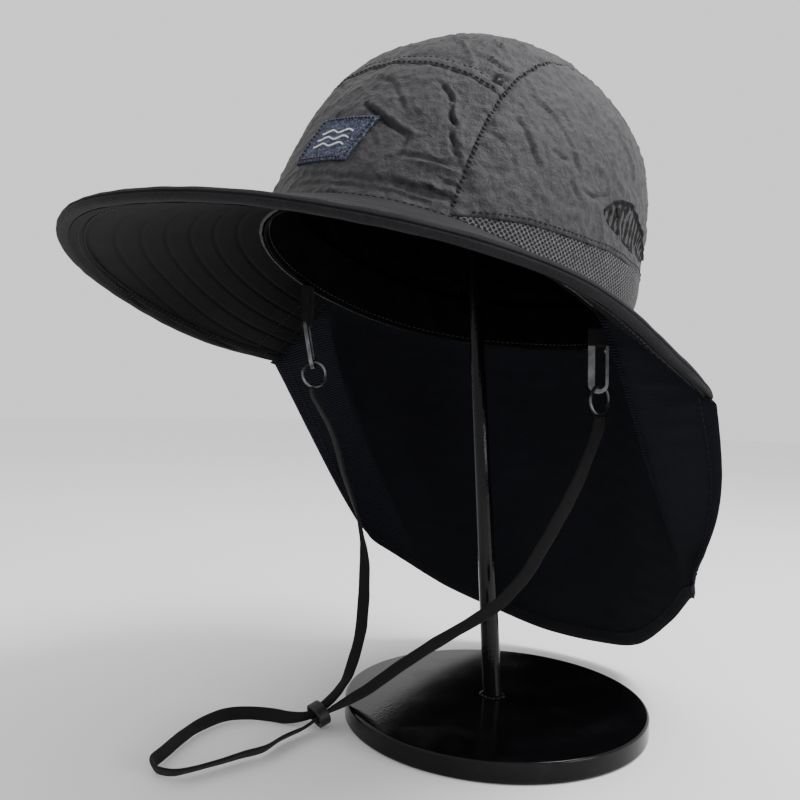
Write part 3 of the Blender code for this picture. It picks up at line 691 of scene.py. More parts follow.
def brim_point(angle, distance, lift):
    """The brim's underside at a distance from the crown, or above it by the lift."""
    droop = np.radians(table(BRIM_ROWS, 2, np.abs(angle)) + table(SAG_ROWS, 1, angle))[..., None]
    out = outward(angle)
    up = np.array((0, 0, 1.0))
    slope = out * np.cos(droop) - up * np.sin(droop)
    square = out * np.sin(droop) + up * np.cos(droop)
    foot = opening_point(angle)
    return foot + slope * np.asarray(distance)[..., None] + square * np.asarray(lift)[..., None]


def ear_angle(share, side):
    """Angle of one of the brim's ends, from the crown (0) to the binding (1)."""
    edge = EAR_ANGLE_AT_EDGE + np.where(np.asarray(side) > 0, LEFT_EAR_EXTRA, 0)
    return EAR_ANGLE_AT_CROWN + (edge - EAR_ANGLE_AT_CROWN) * np.minimum(share, 1)


def brim_angle(around, share):
    """Angle at a place between the brim's right end (0) and its left one (1)."""
    return ear_angle(share, 1) * around - ear_angle(share, -1) * (1 - around)


def along_flap(share):
    """Along the flap's top: side, nearness to the ear, axis to turn about and share of the back."""
    side = np.where(share < 0.5, 1.0, -1.0)
    to_ear = np.minimum(share, 1 - share) / FLAP_EAR_SHARE
    level = np.stack((0 * side, 0 * side, side), axis=-1)
    return side, to_ear, level, (share - FLAP_EAR_SHARE) / (1 - 2 * FLAP_EAR_SHARE)


def flap_top(share):
    """The flap's sewn edge, in the object's frame."""
    side, to_ear, level, turn = along_flap(share)
    width = brim_width(ear_angle(1, side))
    out = np.clip(1 - to_ear, 0, 1) * width
    angle = side * ear_angle(out / (width - BINDING_WIDTH), side)
    back = np.cross(outward(angle), level)
    by_ear = brim_point(angle, out, BRIM_THICKNESS / 2 + 0 * out) - back * FLAP_BEHIND
    angle = EAR_ANGLE_AT_CROWN + (360 - 2 * EAR_ANGLE_AT_CROWN) * turn
    shift = outward(angle) * (FLAP_EAR_SHIFT * (1 - hump(turn - 0.5, 0.5)))[..., None]
    by_crown = opening_point(angle) + shift
    by_crown[..., 2] -= GAP + FLAP_CLOTH / 2
    return worn(np.where((to_ear < 1)[..., None], by_ear, by_crown))


def flap_tuck(share):
    """From the flap's top edge into the seam that holds it, in the object's frame."""
    side, to_ear, level, turn = along_flap(share)
    into_brim = np.cross(outward(side * ear_angle(1, side)), level) * (FLAP_BEHIND + SEAM_DEPTH / 2)
    angle = EAR_ANGLE_AT_CROWN + (360 - 2 * EAR_ANGLE_AT_CROWN) * turn
    into_crown = np.array((0, 0, SEAM_DEPTH)) - outward(angle) * CROWN_CLOTH / 2
    blend = ramp(to_ear, 0.9, 1.1)[..., None]
    return turned(into_brim * (1 - blend) + into_crown * blend)


def flap_point(share, fall):
    """A point of the flap, from its sewn edge (0) to its hem (1)."""
    top = flap_top(share)
    hem = np.array(HAT_PLACE) + along(HEM_ROWS, share * (len(HEM_ROWS) - 1)) * np.array(
        (FLAP_HALF_WIDTH, FLAP_REACH, -FLAP_DROP))
    spread_out = (fall ** FLAP_SPREAD_POWER)[..., None]
    place = top + (hem - top) * fall[..., None]
    place[..., :2] = (top + (hem - top) * spread_out)[..., :2]
    away = place - np.array(HAT_PLACE)
    away[..., 2] = 0
    size = table(BILLOW_ROWS, 1, share)
    power = table(BILLOW_ROWS, 2, share)
    wave = FLAP_WAVE * np.sin(2 * pi * FLAP_WAVES * share) * np.sin(pi * fall)
    billow = FLAP_BILLOW * size * np.sin(pi * fall ** power) + wave
    return place + unit(away) * billow[..., None]


# Finishes

class Finish:
    """A material under construction: its shader and a few shorthand steps."""

    def __init__(self, name, roughness, metallic=0.0, sheen=0.0, gloss=0.5):
        self.material = bpy.data.materials.new(name)
        self.material.use_nodes = True
        self.nodes = self.material.node_tree.nodes
        self.links = self.material.node_tree.links
        self.shader = self.nodes["Principled BSDF"]
        sockets = {"Roughness": roughness, "Metallic": metallic, "Sheen Weight": sheen,
                   "Sheen Roughness": 0.45, "Specular IOR Level": gloss}
        for socket, value in sockets.items():
            self.shader.inputs[socket].default_value = value
        self.bump_before = None

    def add(self, kind, **values):
        """A node with some of its inputs or settings given."""
        node = self.nodes.new(kind)
        for key, value in values.items():
            if key in node.inputs:
                node.inputs[key].default_value = value
            else:
                setattr(node, key, value)
        return node

    def place(self, size=(1, 1, 1), turn=(0, 0, 0), cloth=False):
        """Coordinates of the object, or of its cloth, scaled and turned."""
        if cloth:
            source = self.add("ShaderNodeUVMap", uv_map="cloth")
        else:
            source = self.add("ShaderNodeTexCoord")
        mapping = self.add("ShaderNodeMapping")
        mapping.inputs["Scale"].default_value = size
        mapping.inputs["Rotation"].default_value = [radians(angle) for angle in turn]
        self.links.new(source.outputs["UV" if cloth else "Object"], mapping.inputs["Vector"])
        return mapping.outputs["Vector"]

    def grain(self, place, size, detail=4, rough=0.55):
        """Noise whose features are about the size, in metres."""
        node = self.add("ShaderNodeTexNoise", Detail=detail, Roughness=rough, Scale=1 / size)
        self.links.new(place, node.inputs["Vector"])
        return node.outputs["Fac"]

    def ribs(self, place, size, direction="X"):
        """Straight ribs with the given spacing."""
        node = self.add("ShaderNodeTexWave", wave_type="BANDS", bands_direction=direction,
                        wave_profile="SIN", Scale=pi / (10 * size) * 2)
        self.links.new(place, node.inputs["Vector"])
        return node.outputs["Fac"]

    def holes(self, place, size, sharp=0.0):
        """Regular round holes: distance from the nearest one's middle."""
        node = self.add("ShaderNodeTexVoronoi", feature="F1", Scale=1 / size, Randomness=sharp)
        self.links.new(place, node.inputs["Vector"])
        return node.outputs["Distance"]

    def steps(self, value, low, high):
        """A value's range spread over 0 to 1."""
        node = self.add("ShaderNodeMapRange")
        node.inputs["From Min"].default_value = low
        node.inputs["From Max"].default_value = high
        self.links.new(value, node.inputs["Value"])
        return node.outputs["Result"]

    def maths(self, operation, one, other):
        """Arithmetic on two values or a value and a number."""
        node = self.add("ShaderNodeMath", operation=operation)
        for socket, value in zip(node.inputs, (one, other)):
            if isinstance(value, (int, float)):
                socket.default_value = value
            else:
                self.links.new(value, socket)
        return node.outputs["Value"]

    def blend(self, share, dark, light):
        """Mix of two colours, or of a colour and another mix."""
        node = self.add("ShaderNodeMix", data_type="RGBA")
        self.links.new(share, node.inputs["Factor"])
        for socket, value in ((node.inputs[6], dark), (node.inputs[7], light)):
            if isinstance(value, tuple):
                socket.default_value = (*value, 1)
            else:
                self.links.new(value, socket)
        return node.outputs[2]

    def crossed(self, first, second, share):
        """Ribs times others that fall to no less than 1 less the share."""
        eased = self.maths("ADD", self.maths("MULTIPLY", second, share), 1 - share)
        return self.maths("MULTIPLY", first, eased)

    def mottle(self, value, dark, light):
        """Two shades that a value parts softly."""
        return self.blend(self.steps(value, 0.3, 0.7), dark, light)

    def colour(self, value):
        """The shader's colour."""
        self.links.new(value, self.shader.inputs["Base Color"])
        return self

    def rough(self, value, low, high):
        """Roughness that follows a value."""
        node = self.add("ShaderNodeMapRange")
        node.inputs["To Min"].default_value = low
        node.inputs["To Max"].default_value = high
        self.links.new(value, node.inputs["Value"])
        self.links.new(node.outputs["Result"], self.shader.inputs["Roughness"])
        return self

    def relief(self, value, depth, strength=1.0):
        """Relief of a depth in metres, on top of any before it."""
        node = self.add("ShaderNodeBump", Strength=strength, Distance=depth)
        self.links.new(value, node.inputs["Height"])
        if self.bump_before:
            self.links.new(self.bump_before, node.inputs["Normal"])
        self.bump_before = node.outputs["Normal"]
        self.links.new(self.bump_before, self.shader.inputs["Normal"])
        return self


def crinkled_nylon():
    """Charcoal nylon with fine random creases and a close weave."""
    finish = Finish("crinkled_nylon", 0.58, sheen=0.05, gloss=0.22)
    place = finish.place()
    wide = finish.grain(place, 0.030, 3)
    fine = finish.grain(place, 0.0030, 6, 0.65)
    weave = finish.grain(place, 0.0007, 2)
    dark = finish.mottle(wide, (0.0140, 0.0136, 0.0154), (0.0225, 0.0218, 0.0242))
    finish.colour(finish.blend(finish.steps(fine, 0.38, 0.70), dark, (0.0460, 0.0444, 0.0490)))
    finish.rough(fine, 0.50, 0.68)
    return finish.relief(fine, 0.0016, 0.75).relief(weave, 0.0003, 0.7).material


def vent_mesh():
    """Open knitted mesh with rows of holes, each hole painted near black as painted shade of the hat's
    inside seen through it.
    """
    finish = Finish("vent_mesh", 0.72, sheen=0.04, gloss=0.2)
    place = finish.place(turn=(0, 0, 38), cloth=True)
    holes = finish.holes(place, 0.0018)
    open_part = finish.steps(holes, 0.30, 0.46)
    knit = finish.grain(finish.place(), 0.0009, 3)
    thread = finish.mottle(knit, (0.016, 0.016, 0.018), (0.140, 0.136, 0.145))
    # The holes get a near-black colour: painted shade of the dark inside, standing in for real
    # openings.
    finish.colour(finish.blend(open_part, (0.0016, 0.0016, 0.0020), thread))
    return finish.relief(open_part, 0.0009, 0.8).relief(knit, 0.0004, 0.6).material


def brim_cloth(name, dark, light):
    """Plain woven cloth for the brim, in two shades."""
    finish = Finish(name, 0.72, gloss=0.07)
    place = finish.place()
    wide = finish.grain(place, 0.022, 4)
    weave = finish.grain(place, 0.0009, 3, 0.7)
    base = finish.mottle(wide, dark, light)
    lit = tuple(1.35 * part for part in light)
    finish.colour(finish.blend(finish.steps(weave, 0.45, 0.85), base, lit))
    finish.rough(weave, 0.60, 0.76)
    return finish.relief(weave, 0.0006, 0.7).relief(wide, 0.0012, 0.25).material


def flap_mesh():
    """Black mesh with fine diagonal ribs."""
    finish = Finish("flap_mesh", 0.75, gloss=0.05)
    ribs = finish.ribs(finish.place(turn=(0, 0, -48), cloth=True), 0.0022)
    cross_ribs = finish.ribs(finish.place(turn=(0, 0, 42), cloth=True), 0.0017)
    knit = finish.crossed(ribs, cross_ribs, 0.45)
    wide = finish.grain(finish.place(), 0.030, 4)
    base = finish.mottle(wide, (0.0020, 0.0021, 0.0031), (0.0042, 0.0044, 0.0060))
    finish.colour(finish.blend(knit, base, (0.0190, 0.0198, 0.0260)))
    return finish.relief(knit, 0.0006, 0.7).material


def woven_tape(name, dark, light):
    """Soft black tape with a close rib across it."""
    finish = Finish(name, 0.78, sheen=0.04, gloss=0.1)
    across = finish.ribs(finish.place(cloth=True), 0.0011, "Y")
    along_it = finish.ribs(finish.place(cloth=True), 0.0009)
    knit = finish.crossed(across, along_it, 0.4)
    fuzz = finish.grain(finish.place(), 0.0012, 4)
    base = finish.mottle(fuzz, dark, light)
    finish.colour(finish.blend(knit, base, tuple(1.7 * part for part in light)))
    return finish.relief(knit, 0.0003, 0.7).relief(fuzz, 0.0003, 0.5).material


def towelling():
    """Soft dark band cloth."""
    finish = Finish("towelling", 0.85, gloss=0.05)
    loops = finish.holes(finish.place(), 0.0013, 1.0)
    fuzz = finish.grain(finish.place(), 0.010, 4)
    finish.colour(finish.mottle(fuzz, (0.0022, 0.0022, 0.0026), (0.0052, 0.0052, 0.0058)))
    return finish.relief(loops, 0.0006, 0.6).material


def woven_label():
    """Navy woven patch, flecked with lighter threads."""
    finish = Finish("woven_label", 0.72, sheen=0.03, gloss=0.15)
    threads = finish.ribs(finish.place(cloth=True), 0.0009)
    picks = finish.ribs(finish.place(cloth=True), 0.0007, "Y")
    knit = finish.maths("MULTIPLY", threads, picks)
    fleck = finish.steps(finish.grain(finish.place(), 0.0009, 3, 0.8), 0.47, 0.66)
    base = finish.blend(knit, (0.012, 0.016, 0.036), (0.026, 0.032, 0.066))
    finish.colour(finish.blend(fleck, base, (0.190, 0.210, 0.300)))
    return finish.relief(knit, 0.0004, 0.7).material


def thread(name, dark, light):
    """Twisted sewing thread."""
    finish = Finish(name, 0.6, gloss=0.2)
    twist = finish.grain(finish.place(), 0.0006, 2)
    finish.colour(finish.mottle(twist, dark, light))
    return finish.relief(twist, 0.0002, 0.6).material


def black_nickel():
    """Dark plated metal, finely brushed and worn bright in places."""
    finish = Finish("black_nickel", 0.32, metallic=0.85)
    brushed = finish.grain(finish.place(size=(1, 1, 0.12)), 0.0006, 4)
    wear = finish.steps(finish.grain(finish.place(), 0.006, 4), 0.40, 0.70)
    finish.colour(finish.blend(wear, (0.085, 0.086, 0.092), (0.190, 0.190, 0.196)))
    finish.rough(brushed, 0.24, 0.44)
    return finish.relief(brushed, 0.0001, 0.5).material


def slide_rubber():
    """Matt black moulded rubber."""
    finish = Finish("slide_rubber", 0.50, gloss=0.3)
    grain = finish.grain(finish.place(), 0.0008, 4)
    finish.colour(finish.blend(grain, (0.0060, 0.0060, 0.0066), (0.0130, 0.0130, 0.0140)))
    finish.rough(grain, 0.42, 0.66)
    return finish.relief(grain, 0.0002, 0.6).material


def black_paint():
    """Gloss black powder coat with a slight orange peel and a little dust."""
    finish = Finish("black_paint", 0.16, gloss=0.16)
    peel = finish.grain(finish.place(), 0.0016, 2)
    dust = finish.steps(finish.grain(finish.place(), 0.018, 5), 0.50, 0.80)
    finish.colour(finish.blend(dust, (0.0030, 0.0030, 0.0036), (0.0085, 0.0085, 0.0095)))
    finish.rough(dust, 0.13, 0.24)
    return finish.relief(peel, 0.0004, 0.16).material


def pale_floor():
    """Plain pale ground, hardly mottled."""
    finish = Finish("pale_floor", 0.9)
    cloud = finish.grain(finish.place(), 0.4, 2)
    finish.colour(finish.blend(cloud, (0.90, 0.90, 0.90), (0.93, 0.93, 0.93)))
    return finish.material


set_camera()

NYLON = crinkled_nylon()
VENT = vent_mesh()
CUFF = brim_cloth("cuff_cloth", (0.0050, 0.0049, 0.0055), (0.0120, 0.0116, 0.0126))
BRIM_TOP = brim_cloth("brim_upper_cloth", (0.018, 0.0174, 0.0192), (0.029, 0.028, 0.031))
# Underside of the brim: the brim cloth in far darker shades than the top's, as painted shade of the
# face turned down.
BRIM_UNDER_SHADED = brim_cloth("brim_under_painted_shade", (0.0022, 0.0022, 0.0027), (0.0036, 0.0036, 0.0043))
# Inner faces of the crown's cloth: the nylon painted near black, as painted shade of the hat's inside.
NYLON_BACK_SHADED = brim_cloth("nylon_back_painted_shade", (0.0010, 0.0010, 0.0014), (0.0018, 0.0018, 0.0024))
RIM_CLOTH = brim_cloth("rim_cloth", (0.0072, 0.0070, 0.0080), (0.0140, 0.0135, 0.0152))
FLAP = flap_mesh()
TAPE = woven_tape("strap_tape", (0.0040, 0.0040, 0.0045), (0.0090, 0.0090, 0.0098))
BAND = towelling()
LABEL = woven_label()
DARK_THREAD = thread("dark_thread", (0.0045, 0.0045, 0.0050), (0.0140, 0.0138, 0.0150))
# Light grey thread for the sweatband's lower edge: its light tone is a painted highlight along that
# edge.
GREY_THREAD_HIGHLIGHT = thread("grey_thread_painted_highlight", (0.040, 0.039, 0.042), (0.085, 0.083, 0.088))
WHITE_THREAD = thread("white_thread", (0.55, 0.55, 0.57), (0.80, 0.80, 0.82))
NICKEL = black_nickel()
RUBBER = slide_rubber()
PAINT = black_paint()


# Chin strap and its slide

def strap_path():
    """The tape's middle line, lifted off the ground by half its standing width."""
    last = len(STRAP_ROUTE) - 1
    places = along(STRAP_ROUTE, np.linspace(0, last, TAPE_STEPS))
    places[:, 2] = np.maximum(places[:, 2], TAPE_WIDTH / 2 + 0.2 * MILLIMETRE)
    return places


def tape_grid(places, tilts, width, thickness):
    """A flat tape with soft edges along a path, its width tilted from the level."""
    run = unit(np.gradient(places, axis=0))
    level = unit(np.cross(np.broadcast_to((0, 0, 1.0), run.shape), run))
    upright = np.cross(run, level)
    turn = np.radians(tilts)[:, None]
    width_way = level * np.cos(turn) + upright * np.sin(turn)
    face_way = np.cross(run, width_way)
    outline = []
    for angle in np.linspace(0, 2 * pi, 16, endpoint=False):
        across = np.sign(cos(angle)) * abs(cos(angle)) ** 0.45 / 2
        through = np.sign(sin(angle)) * abs(sin(angle)) ** 0.8 / 2
        outline.append((across, through))
    outline.append(outline[0])
    grid = np.stack([places + width_way * width * across + face_way * thickness * through
                     for across, through in outline], axis=1)
    cloth = spread(grid)
    cloth[..., 0] = np.array([across for across, _ in outline])[None, :] * width
    return grid, cloth


def make_strap():
    """Soft flat tape along its whole route, with a sewn fold at each ring."""
    places = strap_path()
    share = np.linspace(0, 1, TAPE_STEPS)
    tilts = table(TAPE_ROWS, 1, share) + 9 * crumple(places, 0.020, 3)
    wobble = crumple(places, 0.011, 4) * 0.35 * MILLIMETRE
    width = TAPE_WIDTH * (1 - 0.14 * np.abs(crumple(places, 0.016, 5)))[:, None]
    gathered = np.maximum(*(hump(share - middle, GATHER_REACH) for middle in GATHERS))
    width = width * (1 - 0.30 * gathered[:, None])
    sewn = hump(share, SEWN_SHARE) + hump(1 - share, SEWN_SHARE)
    thick = (TAPE_THICKNESS * (1 + 0.9 * np.minimum(sewn * 1.6, 1)))[:, None]
    places = places + np.stack((wobble, wobble, 0 * wobble), axis=1)
    grid, cloth = tape_grid(places, tilts, width, thick)
    grid[..., 2] = np.maximum(grid[..., 2], 0.1 * MILLIMETRE)
    mesh = mend(grid_mesh("chin_strap_tape", grid, cloth), caps=True)
    piece = new_piece("chin_strap_tape", mesh, TAPE, ("chin_strap",))
    return piece, places


def soften(node, name, material, width):
    """A copy of a node's solid with its edges rounded."""
    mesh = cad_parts[node].data.copy()
    mesh.name = name
    form = bmesh.new()
    form.from_mesh(mesh)
    bmesh.ops.remove_doubles(form, verts=form.verts, dist=1e-6)
    bmesh.ops.dissolve_limit(form, angle_limit=radians(3), verts=form.verts, edges=form.edges)
    form.to_mesh(mesh)
    form.free()
    piece = new_piece(name, mesh, material, (node,), 50)
    bevel(piece, width)
    return piece


STRAP, STRAP_PATH = make_strap()
SLIDE = soften("strap_slide", "strap_slide_moulding", RUBBER, 0.8 * MILLIMETRE)


# Crown

TUCK = 1.4 * MILLIMETRE
TUCK_DEPTH = 1.2 * MILLIMETRE
SEAM_TURN = 0.6
PROFILE = np.linspace(0, 1, 800) ** 0.5
SIDES = ((1, "left"), (-1, "right"))
CROWN_MIDDLE = (0, CROWN_BACK_SHIFT * 0.4, CROWN_HEIGHT * 0.3)

# Folds: widths of the steep and the gentle side, height of the lip, all as shares, and limits
FOLD_STEEP = 0.62
FOLD_GENTLE = 1.35
FOLD_LIP = 0.22
FOLD_LIMITS = (-1.6 * MILLIMETRE, 3.4 * MILLIMETRE)

# Grooves and ridge beside the front seam, in millimetres: depth, distance and width
FRONT_GROOVES = ((0.55, 0.0, 0.7), (0.35, 6.1, 0.8))
FRONT_RIDGE = (0.50, 3.0, 4.2)
SIDE_GROOVE = 0.90 * MILLIMETRE
SIDE_GROOVE_WIDTH = 1.1 * MILLIMETRE
PUCKER_DEPTH = 0.85 * MILLIMETRE
PUCKER_REACH = 7 * MILLIMETRE

# Layers of the nylon's crumple: kind, depth in millimetres, size and seed
CRUMPLES = (
    (crumple, 0.90, 0.034, 1),
    (crumple, 0.55, 0.013, 2),
    (creases, 0.55, 0.019, 6),
    (creases, 0.40, 0.0085, 7),
    (crumple, 0.26, 0.0042, 8),
)


def crown_rows(low, high, count):
    """Shares of the height that part the crown's wall evenly between two of them."""
    across = crown_point(np.full(PROFILE.shape, 60.0), PROFILE)
    travelled = travel(across)
    first = np.interp(low, PROFILE, travelled)
    last = np.interp(high, PROFILE, travelled)
    share = np.linspace(0, 1, count)[:, None]
    return np.interp(first + (last - first) * share, travelled, PROFILE)


def fold_depth(angle, height, places):
    """Depth of the crown's folds at each place: steep on one side, with a lip beyond it."""
    depth = np.zeros(np.shape(angle))
    from_middle = np.linalg.norm(places[..., :2] - np.array((0, CROWN_BACK_SHIFT * 0.5)), axis=-1)
    across_scale = from_middle * pi / 180
    rise = CROWN_HEIGHT * 1.15
    sway = 1.2 * MILLIMETRE * crumple(places, 0.007, 41)
    strength = 0.95 + 0.5 * crumple(places, 0.011, 42)
    for width, deep, *spots in FOLDS:
        nearest = np.full(np.shape(angle), 1.0)
        signed = np.full(np.shape(angle), 1.0)
        for (start, start_height), (end, end_height) in zip(spots, spots[1:]):
            run_x = (end - start) * across_scale
            run_y = (end_height - start_height) * rise
            off_x = wrapped(angle - start) * across_scale
            off_y = (height - start_height) * rise
            share = np.clip((off_x * run_x + off_y * run_y) / (run_x ** 2 + run_y ** 2), 0, 1)
            distance = np.hypot(off_x - run_x * share, off_y - run_y * share)
            side = np.sign(run_x * off_y - run_y * off_x)
            closer = distance < nearest
            nearest = np.where(closer, distance, nearest)
            signed = np.where(closer, distance * side, signed)
        half = width * MILLIMETRE
        aside = signed + sway * groove(nearest, 4 * half)
        reach = np.where(aside > 0, FOLD_STEEP * half, FOLD_GENTLE * half)
        form = groove(aside, reach) - FOLD_LIP * groove(aside - 1.7 * half, 1.2 * half)
        fade = groove(np.maximum(nearest - 3 * half, 0), half)
        from_end = np.minimum(*(np.hypot(wrapped(angle - end_angle) * across_scale,
                                         (height - end_height) * rise)
                                for end_angle, end_height in (spots[0], spots[-1])))
        tapered = 0.35 + 0.65 * ramp(from_end, 0, 3.5 * half)
        depth += deep * MILLIMETRE * form * strength * fade * tapered
    return np.clip(depth, *FOLD_LIMITS)


def crown_cloth(angle, height, tucks=()):
    """The crown's outer face with its crumples, folds and puckered seams."""
    places = crown_point(angle, height)
    normals = crown_normal(angle, np.minimum(height, 0.985))
    side = past_side_seam(places)
    front = past_front_seam(places)
    relief = sum(depth * MILLIMETRE * kind(places, size, seed) for kind, depth, size, seed in CRUMPLES)
    stretched = places * np.array((0.25, 1.0, 1.0))
    pucker = crumple(stretched, 0.0038, 9) * np.exp(-np.abs(side) / PUCKER_REACH)
    relief += PUCKER_DEPTH * pucker - SIDE_GROOVE * groove(side, SIDE_GROOVE_WIDTH)
    between = np.where(side < 0, MILLIMETRE, 0.0)
    depth, distance, width = FRONT_RIDGE
    relief += between * depth * hump(front / MILLIMETRE - distance, width)
    for depth, distance, width in FRONT_GROOVES:
        relief -= between * depth * groove(front / MILLIMETRE - distance, width)
    relief -= fold_depth(angle, height, places)
    relief *= ramp(height, -0.02, 0.05) * 0.85 + 0.15
    band_top = BAND_HEIGHT / CROWN_HEIGHT
    over_band = ramp(height, 0.95 * band_top, 1.25 * band_top)
    relief = np.maximum(relief, -(1.5 + 3.0 * over_band) * MILLIMETRE)
    for beyond in tucks:
        relief -= TUCK_DEPTH * ramp(beyond(places), -0.2 * MILLIMETRE, TUCK)
    return places + normals * relief[..., None]


def panel_grid(first, last, columns, rows, high, low=lambda turn: 0 * turn):
    """Angles and heights of a panel's grid, from its lower edge to a height."""
    turn = np.linspace(first, last, columns)
    heights = crown_rows(low(turn), high + 0 * turn, rows)
    return np.broadcast_to(turn, heights.shape), heights


def seam_plane(side, shift):
    """Place and direction of a side seam's plane, moved out by the shift."""
    slope = (SIDE_SEAM_BACK - SIDE_SEAM_FRONT) / OPENING_LENGTH
    middle = (SIDE_SEAM_FRONT + SIDE_SEAM_BACK) / 2
    return (side * (middle + shift), 0, 0), (side, -slope, 0)


def front_plane(shift):
    """Place and direction of the front seam's plane, moved up by the shift."""
    normal = Vector((0, FRONT_SEAM_SLOPE, 1)).normalized()
    place = Vector((0, -OPENING_LENGTH / 2, FRONT_SEAM_HEIGHT)) + normal * shift
    return tuple(place), tuple(normal)


def sew_panel(name, places, planes, node, material=NYLON):
    """Cut a sheet of the crown at its seams and give it its cloth."""
    mesh = mend(grid_mesh(name, places, spread(places)))
    for place, direction in planes:
        cut_away(mesh, place, direction)
    face_away(mesh, CROWN_MIDDLE)
    mesh.transform(Matrix(HAT_POSE.tolist()))
    piece = new_piece(name, mesh, material, (node,))
    # The inner faces take the near-black colour: painted shade of the hat's inside.
    piece.data.materials.append(NYLON_BACK_SHADED)
    apply_modifier(piece, "SOLIDIFY", thickness=CROWN_CLOTH, offset=-1.0, material_offset=1)


def flipped(plane):
    """The same plane with the other side cut away."""
    place, direction = plane
    return place, tuple(-part for part in direction)


def make_top_panel():
    """The panel over the top and down the back."""
    angle, height = panel_grid(0, 360, 481, 140, 1.0)
    places = crown_cloth(angle, height)
    planes = [seam_plane(1, 0), seam_plane(-1, 0), flipped(front_plane(0))]
    sew_panel("top_panel_cloth", places, planes, "top_panel")


def make_front_panel():
    """The front panel, tucked under the top one along their seam."""
    angle, height = panel_grid(-50, 50, 256, 142, 0.68)
    places = crown_cloth(angle, height, (past_front_seam,))
    planes = [seam_plane(1, 0), seam_plane(-1, 0), front_plane(TUCK)]
    sew_panel("front_panel_cloth", places, planes, "front_panel")


def make_side_panels():
    """The side panels, tucked under their neighbours, over the vents."""
    for side, name in SIDES:
        angle, height = panel_grid(34 * side, 156 * side, 256, 132, 0.90, vent_edge)
        places = crown_cloth(angle, height, (inside_seam,))
        edge = ramp((height - vent_edge(angle)) * CROWN_HEIGHT, 0, 1.2 * MILLIMETRE)
        places = places + crown_normal(angle, height) * (0.5 * MILLIMETRE * (edge - 0.4))[..., None]
        planes = [flipped(seam_plane(side, -TUCK))]
        sew_panel("side_panel_cloth_" + name, places, planes, "side_panel_" + name)


def make_vents():
    """The mesh bands at the foot of the sides."""
    for side, name in SIDES:
        turn = np.linspace(30 * side, 160 * side, 300)
        top = np.minimum(vent_edge(turn) + TUCK / CROWN_HEIGHT, 1) + 0.001
        share = np.linspace(0, 1, 44)[:, None]
        height = top * share
        angle = np.broadcast_to(turn, height.shape)
        places = crown_point(angle, height)
        over_edge = (height - vent_edge(angle)) * CROWN_HEIGHT
        inwards = TUCK_DEPTH * 0.7 * ramp(over_edge, -0.6 * MILLIMETRE, TUCK)
        inwards += TUCK_DEPTH * ramp(inside_seam(places), -0.2 * MILLIMETRE, TUCK)
        inwards -= 0.35 * MILLIMETRE * crumple(places, 0.012, 12)
        places = places - crown_normal(angle, height) * inwards[..., None]
        planes = [flipped(seam_plane(side, -TUCK))]
        sew_panel("vent_mesh_" + name, places, planes, "vent_" + name, VENT)


def seam_line(side):
    """Angles and heights along a side seam, from its front foot over the top to the back."""
    level = np.linspace(0.045, SEAM_TURN, 120)
    front = angle_where(level, 15, 85)
    back = angle_where(level, 105, 175)
    over = np.linspace(front[-1], back[-1], 160)[1:-1]
    above = height_where(over, past_side_seam, SEAM_TURN - 0.05, 0.999)
    angle = np.concatenate((front, over, back[::-1]))
    return angle * side, np.concatenate((level, above, level[::-1]))


def front_seam_line(shift):
    """Angles and heights along the front seam, moved up by the shift."""
    angle = np.linspace(-46, 46, 160)
    height = height_where(angle, lambda places: past_front_seam(places) - shift, 0.0, 0.999)
    keep = past_side_seam(crown_point(angle, height)) < -0.6 * MILLIMETRE
    return angle[keep], height[keep]


def on_cloth(angle, height, shift=0.0):
    """Places on the crown's crumpled face, and its normals, in the object's frame."""
    normals = crown_normal(angle, height)
    return worn(crown_cloth(angle, height) + normals * shift), turned(normals)


def crossing_stitches(places, normals):
    """Short slanted stitches across a seam."""
    travelled = travel(places)
    spots = np.arange(CROSS_SPACE, travelled[-1] - CROSS_SPACE, CROSS_SPACE)
    middle = sample(spots, travelled, places)
    run = unit(sample(spots + 0.2 * MILLIMETRE, travelled, places) - middle)
    up = unit(sample(spots, travelled, normals))
    reach = unit(np.cross(up, run) + CROSS_SLANT * run) * CROSS_LENGTH / 2
    return middle - reach, middle + reach, up


def make_crown_stitches():
    """All the sewing of the crown."""
    over, rows = [], []
    for side in (1, -1):
        over.append(crossing_stitches(*on_cloth(*seam_line(side), 0.35 * MILLIMETRE)))
        turn = np.linspace(46, 138, 300) * side
        height = vent_edge(turn) + 2.2 * MILLIMETRE / CROWN_HEIGHT
        above_vent = on_cloth(turn, height, 0.45 * MILLIMETRE)
        rows.append(stitched(*above_vent, 2.1 * MILLIMETRE, 0.7 * MILLIMETRE))
    for shift in (5.5 * MILLIMETRE, 1.2 * MILLIMETRE):
        rows.append(stitched(*on_cloth(*front_seam_line(shift), THREAD_LIFT), 2.0 * MILLIMETRE))
    sew("side_seam_stitches", over, 0.75, 0.55, DARK_THREAD)
    sew("crown_stitches", rows, 0.55, 0.40, DARK_THREAD)


